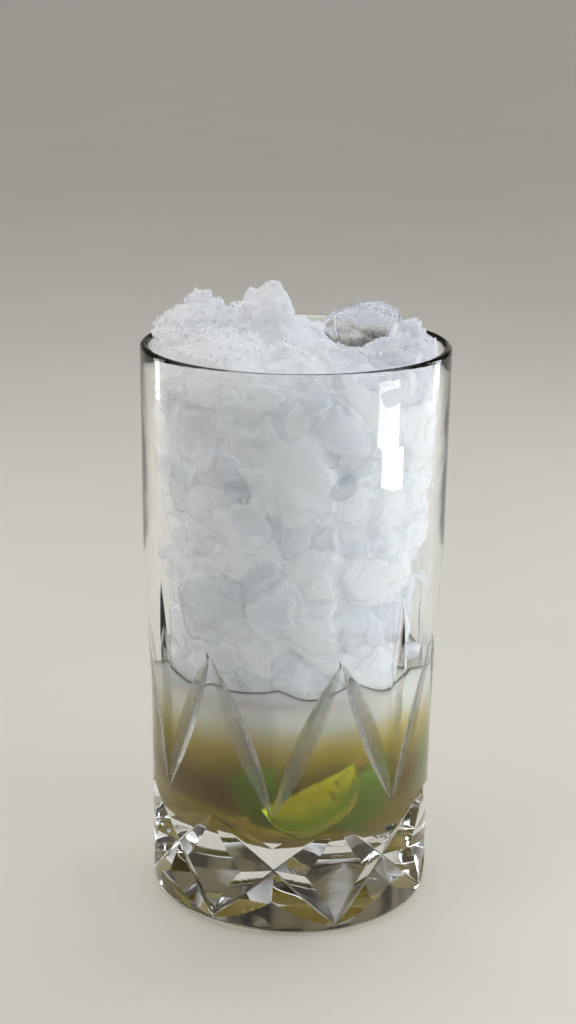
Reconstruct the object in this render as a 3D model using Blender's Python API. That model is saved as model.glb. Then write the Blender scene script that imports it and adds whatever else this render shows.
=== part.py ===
"""Caipirinha in a tall cut-glass tumbler packed with crushed ice.

Three solids in one frame, +Z up, with the origin in the middle of the
glass's foot: the glass, the drink up to its level, and the heap of crushed
ice that stands on the drink and rises above the rim.
"""
import math
import random

import bmesh
import bpy
from mathutils import Vector

MM = 0.001

# Driving dimensions of the glass
GLASS_HEIGHT = 150.0 * MM
RIM_RADIUS = 40.05 * MM
RIM_WALL = 2.3 * MM
BODY_RADIUS = 37.5 * MM       # just above the foot
SWELL = 1.65 * MM             # extra radius gained between the two heights below
SWELL_START = 50.0 * MM
SWELL_END = 102.0 * MM
FOOT_ROUND = 2.4 * MM
FLOOR_HEIGHT = 24.0 * MM      # top of the thick base
FLOOR_RADIUS = 33.8 * MM
FLOOR_CORNER = 7.0 * MM
TURNED_SEGMENTS = 56
CORNER_STEPS = 4
SWELL_STEPS = 6
FOOT_STEPS = 4
RIM_STEPS = 6
CROSS_STEPS = 8
FAN_STEPS = 6
SHARP_ANGLE = 35.0            # degrees above which an edge stays sharp
LOOK_AHEAD = 0.01             # share of a cut's length that gives its direction
SMALLEST_EDGE = 0.01 * MM

# Cut pattern: a cross and a fan of three leaves, repeated round the glass
REPEATS = 7
FIRST_CROSS = -6.7            # degrees from the front, positive towards +X
CUT_OVERRUN = 0.05            # share of a cut's length past each of its points
CUT_CLEARANCE = 2.5 * MM      # height of the cutters above the wall
CROSS_HEIGHT = 17.5 * MM
CROSS_RISE = 15.0 * MM        # half of a cross arm's height
CROSS_REACH = 26.0            # half of a cross arm's width, degrees
CROSS_DEPTH = 3.0 * MM
CROSS_SLOPE = 65.0            # degrees between a cut's flank and its depth
FAN_FOOT = 34.0 * MM
FAN_REACH = 25.7
FAN_SIDE_TOP = 76.0 * MM
FAN_MIDDLE_TOP = 92.0 * MM
FAN_DEPTH = 1.6 * MM
FAN_SLOPE = 60.0

# Contents
PIECE_GAP = 0.3 * MM
DRINK_LEVEL = 66.5 * MM
ICE_SIDE_GAP = 0.5 * MM
ICE_CORE_INSET = 3.2 * MM
ICE_CORE_AROUND = 24
ICE_CORE_SIDE_STEPS = 4
ICE_CORE_TOP_STEPS = 7
ICE_SEED = 17

# Pieces of ice: half-sizes, and how many lie along the wall and on top
WALL_ICE_SIZES = (6.0 * MM, 9.5 * MM)
WALL_ICE_ROWS = 7
WALL_ICE_PER_ROW = 12
WALL_ICE_CORNERS = 13
TOP_ICE_SIZES = (4.2 * MM, 6.8 * MM)
TOP_ICE_COUNT = 32
TOP_ICE_CORNERS = 13
TOP_ICE_SPREAD = 33.0 * MM
TOP_ICE_SINK = 0.8            # depth of a top piece's centre over its half-size
PEAK_ICE_SHARE = 0.78         # half-size of a peak's own piece over the peak's width
PEAK_ICE_SINK = 0.85
PEAK_ICE_CORNERS = 18
GOLDEN_TURN = math.pi * (3.0 - math.sqrt(5.0))

# How uneven the pieces are: each pair is the lowest and highest random value
PIECE_THICKNESS = (0.5, 0.85)     # share of the half-size left across its flat way
CORNER_TURN = (-0.35, 0.35)       # radians that a corner strays sideways
CORNER_REACH = (0.85, 1.15)       # share of the half-size that a corner reaches
CORNER_MERGE = 0.2 * MM           # corners nearer than this become one
ROW_SHIFT = (-0.3, 0.3)           # share of a row that a piece strays up or down
COLUMN_SHIFT = (-0.25, 0.25)      # share of a column that it strays sideways
WALL_INSET = (0.55, 0.8)          # depth of its centre behind the wall over its half-size
TOP_TURN = (-0.2, 0.2)            # radians that a top piece strays round the glass

# Ice heap above the rim: each mound's x, y, top height and half-width
HEAP_EDGE = 148.5 * MM
HEAP_COVER = 2.5 * MM         # thickness of loose ice over the heap's core
HEAP_SLOPE = 0.7              # steepness of a mound's bell shape
HEAP_PEAKS = (
    (-5.6 * MM, -4.0 * MM, 166.3 * MM, 8.4 * MM),
    (-24.5 * MM, 0.0 * MM, 163.0 * MM, 10.0 * MM),
    (17.5 * MM, 1.0 * MM, 160.5 * MM, 9.0 * MM),
    (29.0 * MM, 2.0 * MM, 156.0 * MM, 7.5 * MM),
    (-20.0 * MM, -19.0 * MM, 156.0 * MM, 10.0 * MM),
    (-2.0 * MM, -20.0 * MM, 154.0 * MM, 11.0 * MM),
    (13.0 * MM, -19.0 * MM, 153.0 * MM, 9.0 * MM),
    (25.0 * MM, -14.0 * MM, 152.5 * MM, 8.0 * MM),
    (-12.0 * MM, 20.0 * MM, 157.0 * MM, 12.0 * MM),
)


def remove_scene_objects():
    """Start from an empty scene."""
    for obj in list(bpy.data.objects):
        bpy.data.objects.remove(obj, do_unlink=True)


def surface_material(name, colour, roughness, transmission):
    """One Principled material."""
    material = bpy.data.materials.new(name)
    material.use_nodes = True
    shader = material.node_tree.nodes["Principled BSDF"]
    shader.inputs["Base Color"].default_value = (*colour, 1.0)
    shader.inputs["Roughness"].default_value = roughness
    shader.inputs["Metallic"].default_value = 0.0
    shader.inputs["Transmission Weight"].default_value = transmission
    return material


def object_from_bmesh(name, mesh_data, material):
    """Write a bmesh to a new object in the scene."""
    mesh = bpy.data.meshes.new(name)
    mesh_data.to_mesh(mesh)
    mesh_data.free()
    mesh.materials.append(material)
    obj = bpy.data.objects.new(name, mesh)
    bpy.context.scene.collection.objects.link(obj)
    return obj


def smoothstep(value):
    """Ease from 0 to 1."""
    value = min(1.0, max(0.0, value))
    return value * value * (3.0 - 2.0 * value)


def outer_radius(height):
    """Radius of the uncut glass: a light taper and a soft swell above the cuts."""
    lean = (RIM_RADIUS - BODY_RADIUS - SWELL) * height / GLASS_HEIGHT
    swell = SWELL * smoothstep((height - SWELL_START) / (SWELL_END - SWELL_START))
    return BODY_RADIUS + lean + swell


def inner_radius(height):
    """Radius of the cavity, a plain cone above its rounded floor corner."""
    rim_inner = RIM_RADIUS - RIM_WALL
    share = (height - FLOOR_HEIGHT) / (GLASS_HEIGHT - FLOOR_HEIGHT)
    return FLOOR_RADIUS + (rim_inner - FLOOR_RADIUS) * share


def arc(centre_r, centre_z, radius, start, end, steps):
    """Points of a round stretch of a profile, angles in degrees."""
    points = []
    for step in range(steps + 1):
        angle = math.radians(start + (end - start) * step / steps)
        points.append((centre_r + radius * math.cos(angle), centre_z + radius * math.sin(angle)))
    return points


def cavity_profile(shrink, top):
    """Cavity outline from the floor's middle outwards and up to a height."""
    corner = FLOOR_CORNER - shrink
    wall = inner_radius(FLOOR_HEIGHT + FLOOR_CORNER) - shrink
    points = [(0.0, FLOOR_HEIGHT + shrink)]
    points += arc(wall - corner, FLOOR_HEIGHT + FLOOR_CORNER, corner, -90.0, 0.0, CORNER_STEPS)
    points.append((inner_radius(top) - shrink, top))
    return points


def turned_solid(name, profile, material):
    """Closed turned solid from a profile that starts and ends on the axis."""
    mesh_data = bmesh.new()
    rings = []
    for radius, height in profile:
        if radius == 0.0:
            rings.append([mesh_data.verts.new((0.0, 0.0, height))])
            continue
        ring = []
        for segment in range(TURNED_SEGMENTS):
            angle = math.tau * segment / TURNED_SEGMENTS
            point = (radius * math.sin(angle), -radius * math.cos(angle), height)
            ring.append(mesh_data.verts.new(point))
        rings.append(ring)
    for lower, upper in zip(rings, rings[1:]):
        for segment in range(TURNED_SEGMENTS):
            following = (segment + 1) % TURNED_SEGMENTS
            corners = [lower[segment % len(lower)], lower[following % len(lower)],
                       upper[following % len(upper)], upper[segment % len(upper)]]
            mesh_data.faces.new(list(dict.fromkeys(corners)))
    bmesh.ops.recalc_face_normals(mesh_data, faces=mesh_data.faces)
    obj = object_from_bmesh(name, mesh_data, material)
    obj.data.shade_smooth()
    obj.data.set_sharp_from_angle(angle=math.radians(SHARP_ANGLE))
    return obj


def glass_profile():
    """Outside from the foot's middle up, over the rim and down the cavity."""
    foot_radius = outer_radius(FOOT_ROUND)
    points = [(0.0, 0.0)]
    points += arc(foot_radius - FOOT_ROUND, FOOT_ROUND, FOOT_ROUND, -90.0, 0.0, FOOT_STEPS)
    for step in range(SWELL_STEPS + 1):
        height = SWELL_START + (SWELL_END - SWELL_START) * step / SWELL_STEPS
        points.append((outer_radius(height), height))
    rim_round = RIM_WALL / 2.0
    rim_start = GLASS_HEIGHT - rim_round
    points += arc(RIM_RADIUS - rim_round, rim_start, rim_round, 0.0, 180.0, RIM_STEPS)
    cavity = cavity_profile(0.0, rim_start)
    points += reversed(cavity[:-1])
    return points


def wall_point(angle, height, lift=0.0):
    """Point on the glass's outer wall and its outward direction."""
    outward = Vector((math.sin(math.radians(angle)), -math.cos(math.radians(angle)), 0.0))
    radius = outer_radius(height) + lift
    return outward * radius + Vector((0.0, 0.0, height)), outward


def groove_cutter(name, start, end, depth, slope, steps, material):
    """V-shaped cutter along the wall, deepest halfway and tapering to both points."""
    mesh_data = bmesh.new()
    spread = math.tan(math.radians(slope))
    sections = []
    for step in range(steps + 1):
        share = -CUT_OVERRUN + (1.0 + 2.0 * CUT_OVERRUN) * step / steps
        angle = start[0] + (end[0] - start[0]) * share
        height = start[1] + (end[1] - start[1]) * share
        centre, outward = wall_point(angle, height)
        ahead, _ = wall_point(angle + (end[0] - start[0]) * LOOK_AHEAD,
                              height + (end[1] - start[1]) * LOOK_AHEAD)
        sideways = outward.cross((ahead - centre).normalized())
        sink = depth * (1.0 - (2.0 * share - 1.0) ** 2)
        reach = (sink + CUT_CLEARANCE) * spread
        sections.append([
            mesh_data.verts.new(centre - outward * sink),
            mesh_data.verts.new(centre + outward * CUT_CLEARANCE + sideways * reach),
            mesh_data.verts.new(centre + outward * CUT_CLEARANCE - sideways * reach)])
    for before, after in zip(sections, sections[1:]):
        for corner in range(3):
            following = (corner + 1) % 3
            mesh_data.faces.new((before[corner], before[following],
                                 after[following], after[corner]))
    mesh_data.faces.new(sections[0])
    mesh_data.faces.new(sections[-1])
    bmesh.ops.triangulate(mesh_data, faces=mesh_data.faces)
    bmesh.ops.recalc_face_normals(mesh_data, faces=mesh_data.faces)
    cutter = object_from_bmesh(name, mesh_data, material)
    cutter.hide_render = True
    cutter.display_type = "WIRE"
    return cutter


def cut_pattern(material):
    """Cutters for each repeat: two crossing arms and three leaves above them."""
    cutters = []
    for repeat in range(REPEATS):
        middle = FIRST_CROSS + 360.0 * repeat / REPEATS
        low = CROSS_HEIGHT - CROSS_RISE
        high = CROSS_HEIGHT + CROSS_RISE
        for side in (-1.0, 1.0):
            cutters.append(groove_cutter(
                f"cross_cutter_{len(cutters)}", (middle - side * CROSS_REACH, low),
                (middle + side * CROSS_REACH, high), CROSS_DEPTH, CROSS_SLOPE, CROSS_STEPS,
                material))
        for side in (-1.0, 0.0, 1.0):
            top = FAN_SIDE_TOP if side else FAN_MIDDLE_TOP
            cutters.append(groove_cutter(
                f"fan_cutter_{len(cutters)}", (middle, FAN_FOOT),
                (middle + side * FAN_REACH, top), FAN_DEPTH, FAN_SLOPE, FAN_STEPS,
                material))
    return cutters


def join_collection(obj, pieces, operation, solver):
    """Apply one Boolean with a collection of pieces, then remove the pieces."""
    group = bpy.data.collections.new(obj.name + "_pieces")
    bpy.context.scene.collection.children.link(group)
    for piece in pieces:
        bpy.context.scene.collection.objects.unlink(piece)
        group.objects.link(piece)
    boolean = obj.modifiers.new("join", "BOOLEAN")
    boolean.operation = operation
    boolean.operand_type = "COLLECTION"
    boolean.collection = group
    boolean.solver = solver
    bpy.context.view_layer.update()
    evaluated = obj.evaluated_get(bpy.context.evaluated_depsgraph_get())
    joined = bpy.data.meshes.new_from_object(evaluated)
    obj.modifiers.remove(boolean)
    obj.data = joined
    for piece in pieces:
        bpy.data.objects.remove(piece, do_unlink=True)
    bpy.data.collections.remove(group)


def keep_largest_body(obj):
    """Drop loose scraps, so that the solid is one closed body."""
    mesh_data = bmesh.new()
    mesh_data.from_mesh(obj.data)
    bmesh.ops.dissolve_degenerate(mesh_data, dist=SMALLEST_EDGE, edges=mesh_data.edges)
    unseen = set(mesh_data.verts)
    bodies = []
    while unseen:
        stack = [unseen.pop()]
        body = []
        while stack:
            vertex = stack.pop()
            body.append(vertex)
            for edge in vertex.link_edges:
                other = edge.other_vert(vertex)
                if other in unseen:
                    unseen.remove(other)
                    stack.append(other)
        bodies.append(body)
    bodies.sort(key=len)
    for body in bodies[:-1]:
        bmesh.ops.delete(mesh_data, geom=body, context="VERTS")
    mesh_data.to_mesh(obj.data)
    mesh_data.free()


def make_glass():
    """Thick-based tumbler with its cut crosses and fans."""
    material = surface_material("clear_crystal", (0.95, 0.97, 0.97), 0.02, 1.0)
    glass = turned_solid("glass", glass_profile(), material)
    join_collection(glass, cut_pattern(material), "DIFFERENCE", "MANIFOLD")
    keep_largest_body(glass)


def make_drink():
    """Cachaca, lime juice and melt water up to their level, clear of the wall."""
    material = surface_material("lime_drink", (0.42, 0.34, 0.12), 0.05, 0.6)
    profile = cavity_profile(PIECE_GAP, DRINK_LEVEL)
    profile.append((0.0, DRINK_LEVEL))
    turned_solid("drink", profile, material)


def heap_height(x, y):
    """Height of the ice heap's surface over a point of the glass's mouth."""
    height = HEAP_EDGE
    for peak_x, peak_y, top, width in HEAP_PEAKS:
        distance = math.hypot(x - peak_x, y - peak_y)
        rise = (top - HEAP_EDGE) * math.exp(-HEAP_SLOPE * (distance / width) ** 2)
        height = max(height, HEAP_EDGE + rise)
    return height


def ice_limit(height):
    """Largest radius that a point of the ice may have at a height."""
    return inner_radius(min(height, GLASS_HEIGHT)) - ICE_SIDE_GAP


def ice_core(material):
    """Plain body of the heap that the pieces of ice are fused to."""
    mesh_data = bmesh.new()
    bottom = DRINK_LEVEL + PIECE_GAP
    side_top = HEAP_EDGE - HEAP_COVER
    rings = []
    for step in range(ICE_CORE_SIDE_STEPS + 1):
        height = bottom + (side_top - bottom) * step / ICE_CORE_SIDE_STEPS
        rings.append((ice_limit(height) - ICE_CORE_INSET, height))
    shoulder = rings[-1][0]
    for step in range(1, ICE_CORE_TOP_STEPS):
        rings.append((shoulder * (1.0 - step / ICE_CORE_TOP_STEPS), None))
    loops = []
    for radius, height in rings:
        loop = []
        for segment in range(ICE_CORE_AROUND):
            angle = math.tau * segment / ICE_CORE_AROUND
            x, y = radius * math.sin(angle), -radius * math.cos(angle)
            z = heap_height(x, y) - HEAP_COVER if height is None else height
            loop.append(mesh_data.verts.new((x, y, z)))
        loops.append(loop)
    foot = mesh_data.verts.new((0.0, 0.0, bottom))
    crown = mesh_data.verts.new((0.0, 0.0, heap_height(0.0, 0.0) - HEAP_COVER))
    for segment in range(ICE_CORE_AROUND):
        following = (segment + 1) % ICE_CORE_AROUND
        mesh_data.faces.new((foot, loops[0][following], loops[0][segment]))
        mesh_data.faces.new((crown, loops[-1][segment], loops[-1][following]))
        for lower, upper in zip(loops, loops[1:]):
            mesh_data.faces.new((lower[segment], lower[following],
                                 upper[following], upper[segment]))
    bmesh.ops.triangulate(mesh_data, faces=mesh_data.faces)
    bmesh.ops.recalc_face_normals(mesh_data, faces=mesh_data.faces)
    return object_from_bmesh("ice", mesh_data, material)


def ice_piece(rng, name, centre, size, corners, material):
    """Convex broken piece of ice round a centre, kept clear of wall and drink."""
    mesh_data = bmesh.new()
    flat_way = Vector([rng.uniform(-1.0, 1.0) for _ in range(3)]).normalized()
    thickness = rng.uniform(*PIECE_THICKNESS)
    for corner in range(corners):
        lift = 1.0 - 2.0 * (corner + 0.5) / corners
        turn = corner * GOLDEN_TURN + rng.uniform(*CORNER_TURN)
        level = math.sqrt(1.0 - lift * lift)
        direction = Vector((level * math.cos(turn), level * math.sin(turn), lift))
        direction -= flat_way * direction.dot(flat_way) * (1.0 - thickness)
        point = centre + direction * size * rng.uniform(*CORNER_REACH)
        point.z = max(point.z, DRINK_LEVEL + PIECE_GAP)
        distance = math.hypot(point.x, point.y)
        squeeze = min(1.0, ice_limit(point.z) / distance)
        mesh_data.verts.new((point.x * squeeze, point.y * squeeze, point.z))
    bmesh.ops.remove_doubles(mesh_data, verts=mesh_data.verts, dist=CORNER_MERGE)
    hull = bmesh.ops.convex_hull(mesh_data, input=mesh_data.verts)
    spare = {item for item in hull["geom_interior"] + hull["geom_unused"]
             if isinstance(item, bmesh.types.BMVert)}
    bmesh.ops.delete(mesh_data, geom=list(spare), context="VERTS")
    bmesh.ops.recalc_face_normals(mesh_data, faces=mesh_data.faces)
    return object_from_bmesh(name, mesh_data, material)


def wall_ice(rng):
    """Centres and half-sizes of the pieces packed along the wall, row by row."""
    low = DRINK_LEVEL + WALL_ICE_SIZES[0]
    high = HEAP_EDGE - WALL_ICE_SIZES[0]
    for row in range(WALL_ICE_ROWS):
        for column in range(WALL_ICE_PER_ROW):
            share = (row + rng.uniform(*ROW_SHIFT)) / (WALL_ICE_ROWS - 1)
            height = low + (high - low) * share
            turn = column + 0.5 * (row % 2) + rng.uniform(*COLUMN_SHIFT)
            angle = math.tau * turn / WALL_ICE_PER_ROW
            size = rng.uniform(*WALL_ICE_SIZES)
            radius = ice_limit(height) - size * rng.uniform(*WALL_INSET)
            yield Vector((radius * math.sin(angle), -radius * math.cos(angle), height)), size


def top_ice(rng):
    """Centres and half-sizes of the pieces that lie on the heap."""
    for lump in range(TOP_ICE_COUNT):
        radius = TOP_ICE_SPREAD * math.sqrt((lump + 0.5) / TOP_ICE_COUNT)
        angle = lump * GOLDEN_TURN + rng.uniform(*TOP_TURN)
        x, y = radius * math.sin(angle), -radius * math.cos(angle)
        size = rng.uniform(*TOP_ICE_SIZES)
        yield Vector((x, y, heap_height(x, y) - size * TOP_ICE_SINK)), size


def peak_ice():
    """Centres and half-sizes of the pieces that form the heap's peaks."""
    for peak_x, peak_y, top, width in HEAP_PEAKS:
        size = width * PEAK_ICE_SHARE
        yield Vector((peak_x, peak_y, top - size * PEAK_ICE_SINK)), size


def make_ice():
    """Crushed ice from the drink's level to above the rim, as one fused heap."""
    material = surface_material("crushed_ice", (0.86, 0.89, 0.92), 0.25, 0.3)
    ice = ice_core(material)
    rng = random.Random(ICE_SEED)
    pieces = []
    for places, corners in ((wall_ice(rng), WALL_ICE_CORNERS), (top_ice(rng), TOP_ICE_CORNERS),
                            (peak_ice(), PEAK_ICE_CORNERS)):
        for centre, size in places:
            name = f"ice_piece_{len(pieces)}"
            pieces.append(ice_piece(rng, name, centre, size, corners, material))
    join_collection(ice, pieces, "UNION", "MANIFOLD")
    keep_largest_body(ice)


def main():
    """Build the glass and what it holds."""
    remove_scene_objects()
    make_glass()
    make_drink()
    make_ice()


main()
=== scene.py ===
"""Looks of a caipirinha in a tall cut-glass tumbler packed with crushed ice.

Each operator makes one piece or one group of like pieces round the loaded
frame: the crystal, the drink with its sunk limes, the packed ice, the heap
above the rim with its crumbs, and the stage with its lights and camera.
"""
import math

import bmesh
import bpy
import numpy as np
from mathutils import Matrix, Vector, noise


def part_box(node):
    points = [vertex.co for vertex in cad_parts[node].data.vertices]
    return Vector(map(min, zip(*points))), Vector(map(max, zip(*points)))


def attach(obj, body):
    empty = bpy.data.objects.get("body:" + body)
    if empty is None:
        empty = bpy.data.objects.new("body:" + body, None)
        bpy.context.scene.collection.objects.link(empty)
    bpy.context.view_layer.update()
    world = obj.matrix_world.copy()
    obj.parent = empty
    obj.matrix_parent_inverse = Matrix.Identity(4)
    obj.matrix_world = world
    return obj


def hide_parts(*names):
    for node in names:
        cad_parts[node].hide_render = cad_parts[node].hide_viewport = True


bl_info = {
    "name": "Caipirinha in Cut Glass",
    "version": (1, 0, 0),
    "blender": (4, 5, 0),
    "location": "View3D > Sidebar > Caipirinha",
    "description": "Builds the looks of a caipirinha packed with crushed ice",
    "category": "Object",
}

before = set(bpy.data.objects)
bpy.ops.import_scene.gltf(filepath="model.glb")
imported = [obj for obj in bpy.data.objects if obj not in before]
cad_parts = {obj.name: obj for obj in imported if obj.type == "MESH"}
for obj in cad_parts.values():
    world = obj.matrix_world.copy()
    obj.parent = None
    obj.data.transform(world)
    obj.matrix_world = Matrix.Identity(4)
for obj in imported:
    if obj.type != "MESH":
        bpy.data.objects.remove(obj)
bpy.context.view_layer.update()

MM = 0.001
DEG = math.pi / 180.0
GOLDEN_TURN = math.pi * (3.0 - math.sqrt(5.0))

# Sizes read from the frame
GLASS_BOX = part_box("glass")
DRINK_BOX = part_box("drink")
PIECE_GAP = 0.3 * MM
GLASS_HEIGHT = GLASS_BOX[1].z
RIM_RADIUS = GLASS_BOX[1].x
DRINK_LEVEL = DRINK_BOX[1].z
FLOOR_HEIGHT = DRINK_BOX[0].z - PIECE_GAP

# Glass, the same forms as the solid
RIM_WALL = 2.3 * MM
BODY_RADIUS = 37.5 * MM
SWELL = 1.65 * MM
SWELL_START = 50.0 * MM
SWELL_END = 102.0 * MM
FOOT_ROUND = 2.4 * MM
FLOOR_RADIUS = 33.8 * MM
FLOOR_CORNER = 7.0 * MM

# How far off the cavity's own surface a face may lie and still count as wetted
WET_REACH = 0.1 * MM

# Cut pattern: a cross and a fan of three leaves, repeated round the glass
REPEATS = 7
FIRST_CROSS = -6.7 * DEG
CUT_OVERRUN = 0.05
CUT_CLEARANCE = 2.5 * MM
CUT_BOTTOM_ROUND = 0.9 * MM
CUT_BOTTOM_STEPS = 6
CUT_LIP_ROUND = 1.1 * MM
CUT_LIP_STEPS = 3
CROSS_HEIGHT = 17.5 * MM
CROSS_RISE = 15.0 * MM
CROSS_REACH = 26.0 * DEG
CROSS_SLOPE = 65.0 * DEG
FAN_FOOT = 34.0 * MM
FAN_REACH = 25.7 * DEG
FAN_SIDE_TOP = 76.0 * MM
FAN_MIDDLE_TOP = 92.0 * MM
FAN_SLOPE = 63.0 * DEG

# Ice heap: each mound's x, y, top height and half-width, in millimetres
HEAP_EDGE = 148.5 * MM
HEAP_PEAKS = (
    (-7.6, -1.0, 166.0, 7.8),
    (-24.0, 0.0, 162.0, 11.0),
    (28.0, 1.0, 155.0, 7.0),
    (-17.0, -17.0, 156.5, 11.0),
    (4.0, -20.0, 153.0, 11.0),
    (-12.0, 21.0, 157.0, 12.0),
)
ICE_SEED = 41
NOISE_SEED = 5

# Points nearer the axis than this are on it
SMALLEST_RADIUS = 1e-9

# Ice melted away at the left and the right: how much, from what height down, and over what
# height it comes in, off a full reach from the middle
SIDE_LOSSES = ((7.5 * MM, 150.0 * MM, 75.0 * MM), (9.0 * MM, 118.0 * MM, 30.0 * MM))
FULL_REACH = 38.0 * MM

# Core under the ice: how deep it dips in the drink, how far under the heap's edge its side
# ends, and up to what height its relief points straight out from the axis
CORE_DIP = 2.5 * MM
CORE_SHOULDER = 3.0 * MM
CORE_MIDDLE_TOP = 140.0 * MM

# How finely lumps are melted together, and where the heap's own mesh ends inside the glass
SLUSH_VOXEL = 0.75 * MM
HEAP_VOXEL = 0.55 * MM
HEAP_FOOT = HEAP_EDGE - 9.0 * MM

# Fine relief on melted ice: wave length and height of each step
SLUSH_RELIEF = ((2.8 * MM, 0.40 * MM), (1.1 * MM, 0.16 * MM))
HEAP_RELIEF = ((2.2 * MM, 0.55 * MM), (0.8 * MM, 0.32 * MM))
TONE_SPREAD = 0.32

# How many points have their nearest lump found in one go, for the memory's sake
POINTS_AT_ONCE = 4000

# How far the outlines of the ice's chunks stray
STIR = 7.0 * MM

# How far the cloudy core's side sways, and over what length
CORE_SWAY = 2.6 * MM
CORE_SWAY_LENGTH = 13.0 * MM

# The drink's edge at the wall: how far it reaches in, the dark colour of its painted shade line,
# from what height over the band's foot that painted shade comes in and over what height, and the
# band that waves with the level
MENISCUS_WIDTH = 2.2 * MM
MENISCUS_SHADE = (0.05, 0.05, 0.045)
EDGE_START = 2.3 * MM
EDGE_WIDTH = 0.7 * MM
LEVEL_BAND = 2.0 * MM
LEVEL_WAVE = 2.4 * MM

# What the glass lets through of a lamp's light, and the mirror left in what is wet
CRYSTAL_PASSES = (0.96, 0.97, 0.965)
FAINT_MIRROR = (0.1, 0.1, 0.1)

# Beads of pulp along, across and through a wedge
BEADS_PER_WEDGE = (17.0, 2.6, 3.0)

# Look of each kind of ice: clearness, roughness, chunk size, contrast and relief, pits
PACKED_LOOK = {"clearness": 0.0, "roughness": 0.4, "chunk": 7.0 * MM, "contrast": 0.8,
               "relief": 0.6 * MM, "pits": 0.4 * MM, "pit_scale": 900.0}
WET_LOOK = {"clearness": 0.42, "roughness": 0.10, "chunk": 12.0 * MM, "contrast": 0.8,
            "relief": 0.7 * MM, "pits": 0.25 * MM}
HEAP_LOOK = {"clearness": 0.30, "roughness": 0.25, "chunk": 9.0 * MM, "contrast": 0.2,
             "relief": 0.1 * MM, "pits": 0.4 * MM}
CLEAR_LOOK = {"clearness": 0.97, "roughness": 0.02, "chunk": 4.0 * MM, "relief": 0.12 * MM,
              "pits": 0.1 * MM}
GRAIN_LOOK = {"clearness": 0.15, "roughness": 0.15, "pits": 0.1 * MM}
GLASSY_GRAIN_LOOK = {"clearness": 0.85, "roughness": 0.02, "pits": 0.05 * MM}

# The drink's clear outer part has its core's colours to this power
SHELL_POWER = 0.45

# The glass stands on the floor with a film of air under its foot
FLOOR_GAP = 0.25 * MM
FLOOR_SIZE = 40.0

# What the lamps aim at, and what the low window's lamp aims at to make the streak
LAMP_AIM = (0.0, 0.0, 85.0 * MM)
STREAK_AIM = (0.0246, -0.030, 0.125)

# Camera, from the glass's rim and foot as they are seen
CAMERA_DISTANCE = 466.7 * MM
CAMERA_HEIGHT = 244.05 * MM
CAMERA_PITCH = 16.661 * DEG
CAMERA_ROLL = 0.761 * DEG
FOCAL_PIXELS = 1847.2
AXIS_PIXELS = 5.886
IMAGE_LONG_SIDE = 1024
SENSOR_WIDTH = 36.0

# Settings of the renderer
CYCLES = {
    "use_denoising": True,
    "max_bounces": 11,
    "transmission_bounces": 10,
    "transparent_max_bounces": 14,
    "glossy_bounces": 5,
    "diffuse_bounces": 3,
    "adaptive_threshold": 0.08,
    "blur_glossy": 0.5,
    "sample_clamp_indirect": 6.0,
}


# ---------------------------------------------------------------- settings

def length(name, description, default):
    """Length property in metres."""
    return bpy.props.FloatProperty(name=name, description=description, default=default,
                                   unit="LENGTH", subtype="DISTANCE", precision=4)


def colour(name, description, default):
    """Colour property."""
    return bpy.props.FloatVectorProperty(name=name, description=description, default=default,
                                         size=3, min=0.0, max=1.0, subtype="COLOR")


class CrystalSettings(bpy.types.PropertyGroup):
    """Sizes and finish of the glass."""
    cross_depth: length("Cross Depth", "Depth of the crossing cuts", 3.0 * MM)
    fan_depth: length("Leaf Depth", "Depth of the leaf cuts", 1.45 * MM)
    tint: colour("Glass Tint", "Colour of the glass", (0.985, 0.995, 0.99))


class DrinkSettings(bpy.types.PropertyGroup):
    """Sizes and colours of the drink and its limes."""
    wall_reach: length("Wall Reach", "How far the drink reaches into the glass", 0.15 * MM)
    meniscus: length("Meniscus", "Climb of the drink up the wall", 1.1 * MM)
    clear_depth: length("Clear Depth", "How deep the eye sees into the drink", 6.5 * MM)
    top: colour("Top Colour", "Melt water under the ice", (0.72, 0.72, 0.73))
    middle: colour("Middle Colour", "Cloudy lime juice", (0.38, 0.29, 0.015))
    bottom: colour("Bottom Colour", "Sugar and spirit at the bottom", (0.096, 0.049, 0.0005))
    pulp: colour("Pulp Colour", "Cut flesh of the lime", (0.86, 0.96, 0.05))
    peel: colour("Peel Colour", "Skin of the lime", (0.045, 0.20, 0.006))
    pith: colour("Pith Colour", "White layer under the skin", (0.60, 0.68, 0.28))


class IceSettings(bpy.types.PropertyGroup):
    """Sizes and colours of the ice."""
    smallest: length("Smallest Piece", "Half-size of the smallest packed piece", 4.0 * MM)
    largest: length("Largest Piece", "Half-size of the largest packed piece", 10.5 * MM)
    snow: colour("Packed Snow", "Colour of the ice in the middle", (0.96, 0.97, 1.0))
    # The grey ends of the ice's ramps show both random grey and painted shade
    snow_shade: colour("Packed Grey", "Grey parts of the ice in the middle", (0.84, 0.845, 0.88))
    wet: colour("Wet Ice", "Colour of the melting ice", (0.915, 0.94, 1.0))
    shade: colour("Grey Ice", "Colour of the ice's grey parts", (0.68, 0.69, 0.74))
    heap: colour("Heap", "Colour of the ice above the rim", (0.93, 0.94, 0.955))
    clear: colour("Clear Ice", "Colour of the clear ice", (0.90, 0.92, 0.94))


def power(name, description, default):
    """Lamp power property in watts."""
    return bpy.props.FloatProperty(name=name, description=description, default=default,
                                   unit="POWER")


class StageSettings(bpy.types.PropertyGroup):
    """Floor and lights."""
    floor_colour: colour("Floor", "Colour of the floor", (0.74, 0.70, 0.625))
    room: colour("Room", "Light of the room overhead", (0.82, 0.84, 0.88))
    horizon: colour("Walls", "Light of the room's walls", (0.13, 0.11, 0.07))
    haze: colour("Horizon", "Light of the room at the floor's edge", (0.42, 0.40, 0.36))
    key_power: power("Key Light", "Power of the side light", 2.4)
    fill_power: power("Fill Light", "Power of the fill light", 1.6)
    top_power: power("Top Light", "Power of the light above", 1.9)


# ---------------------------------------------------------------- helpers

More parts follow.
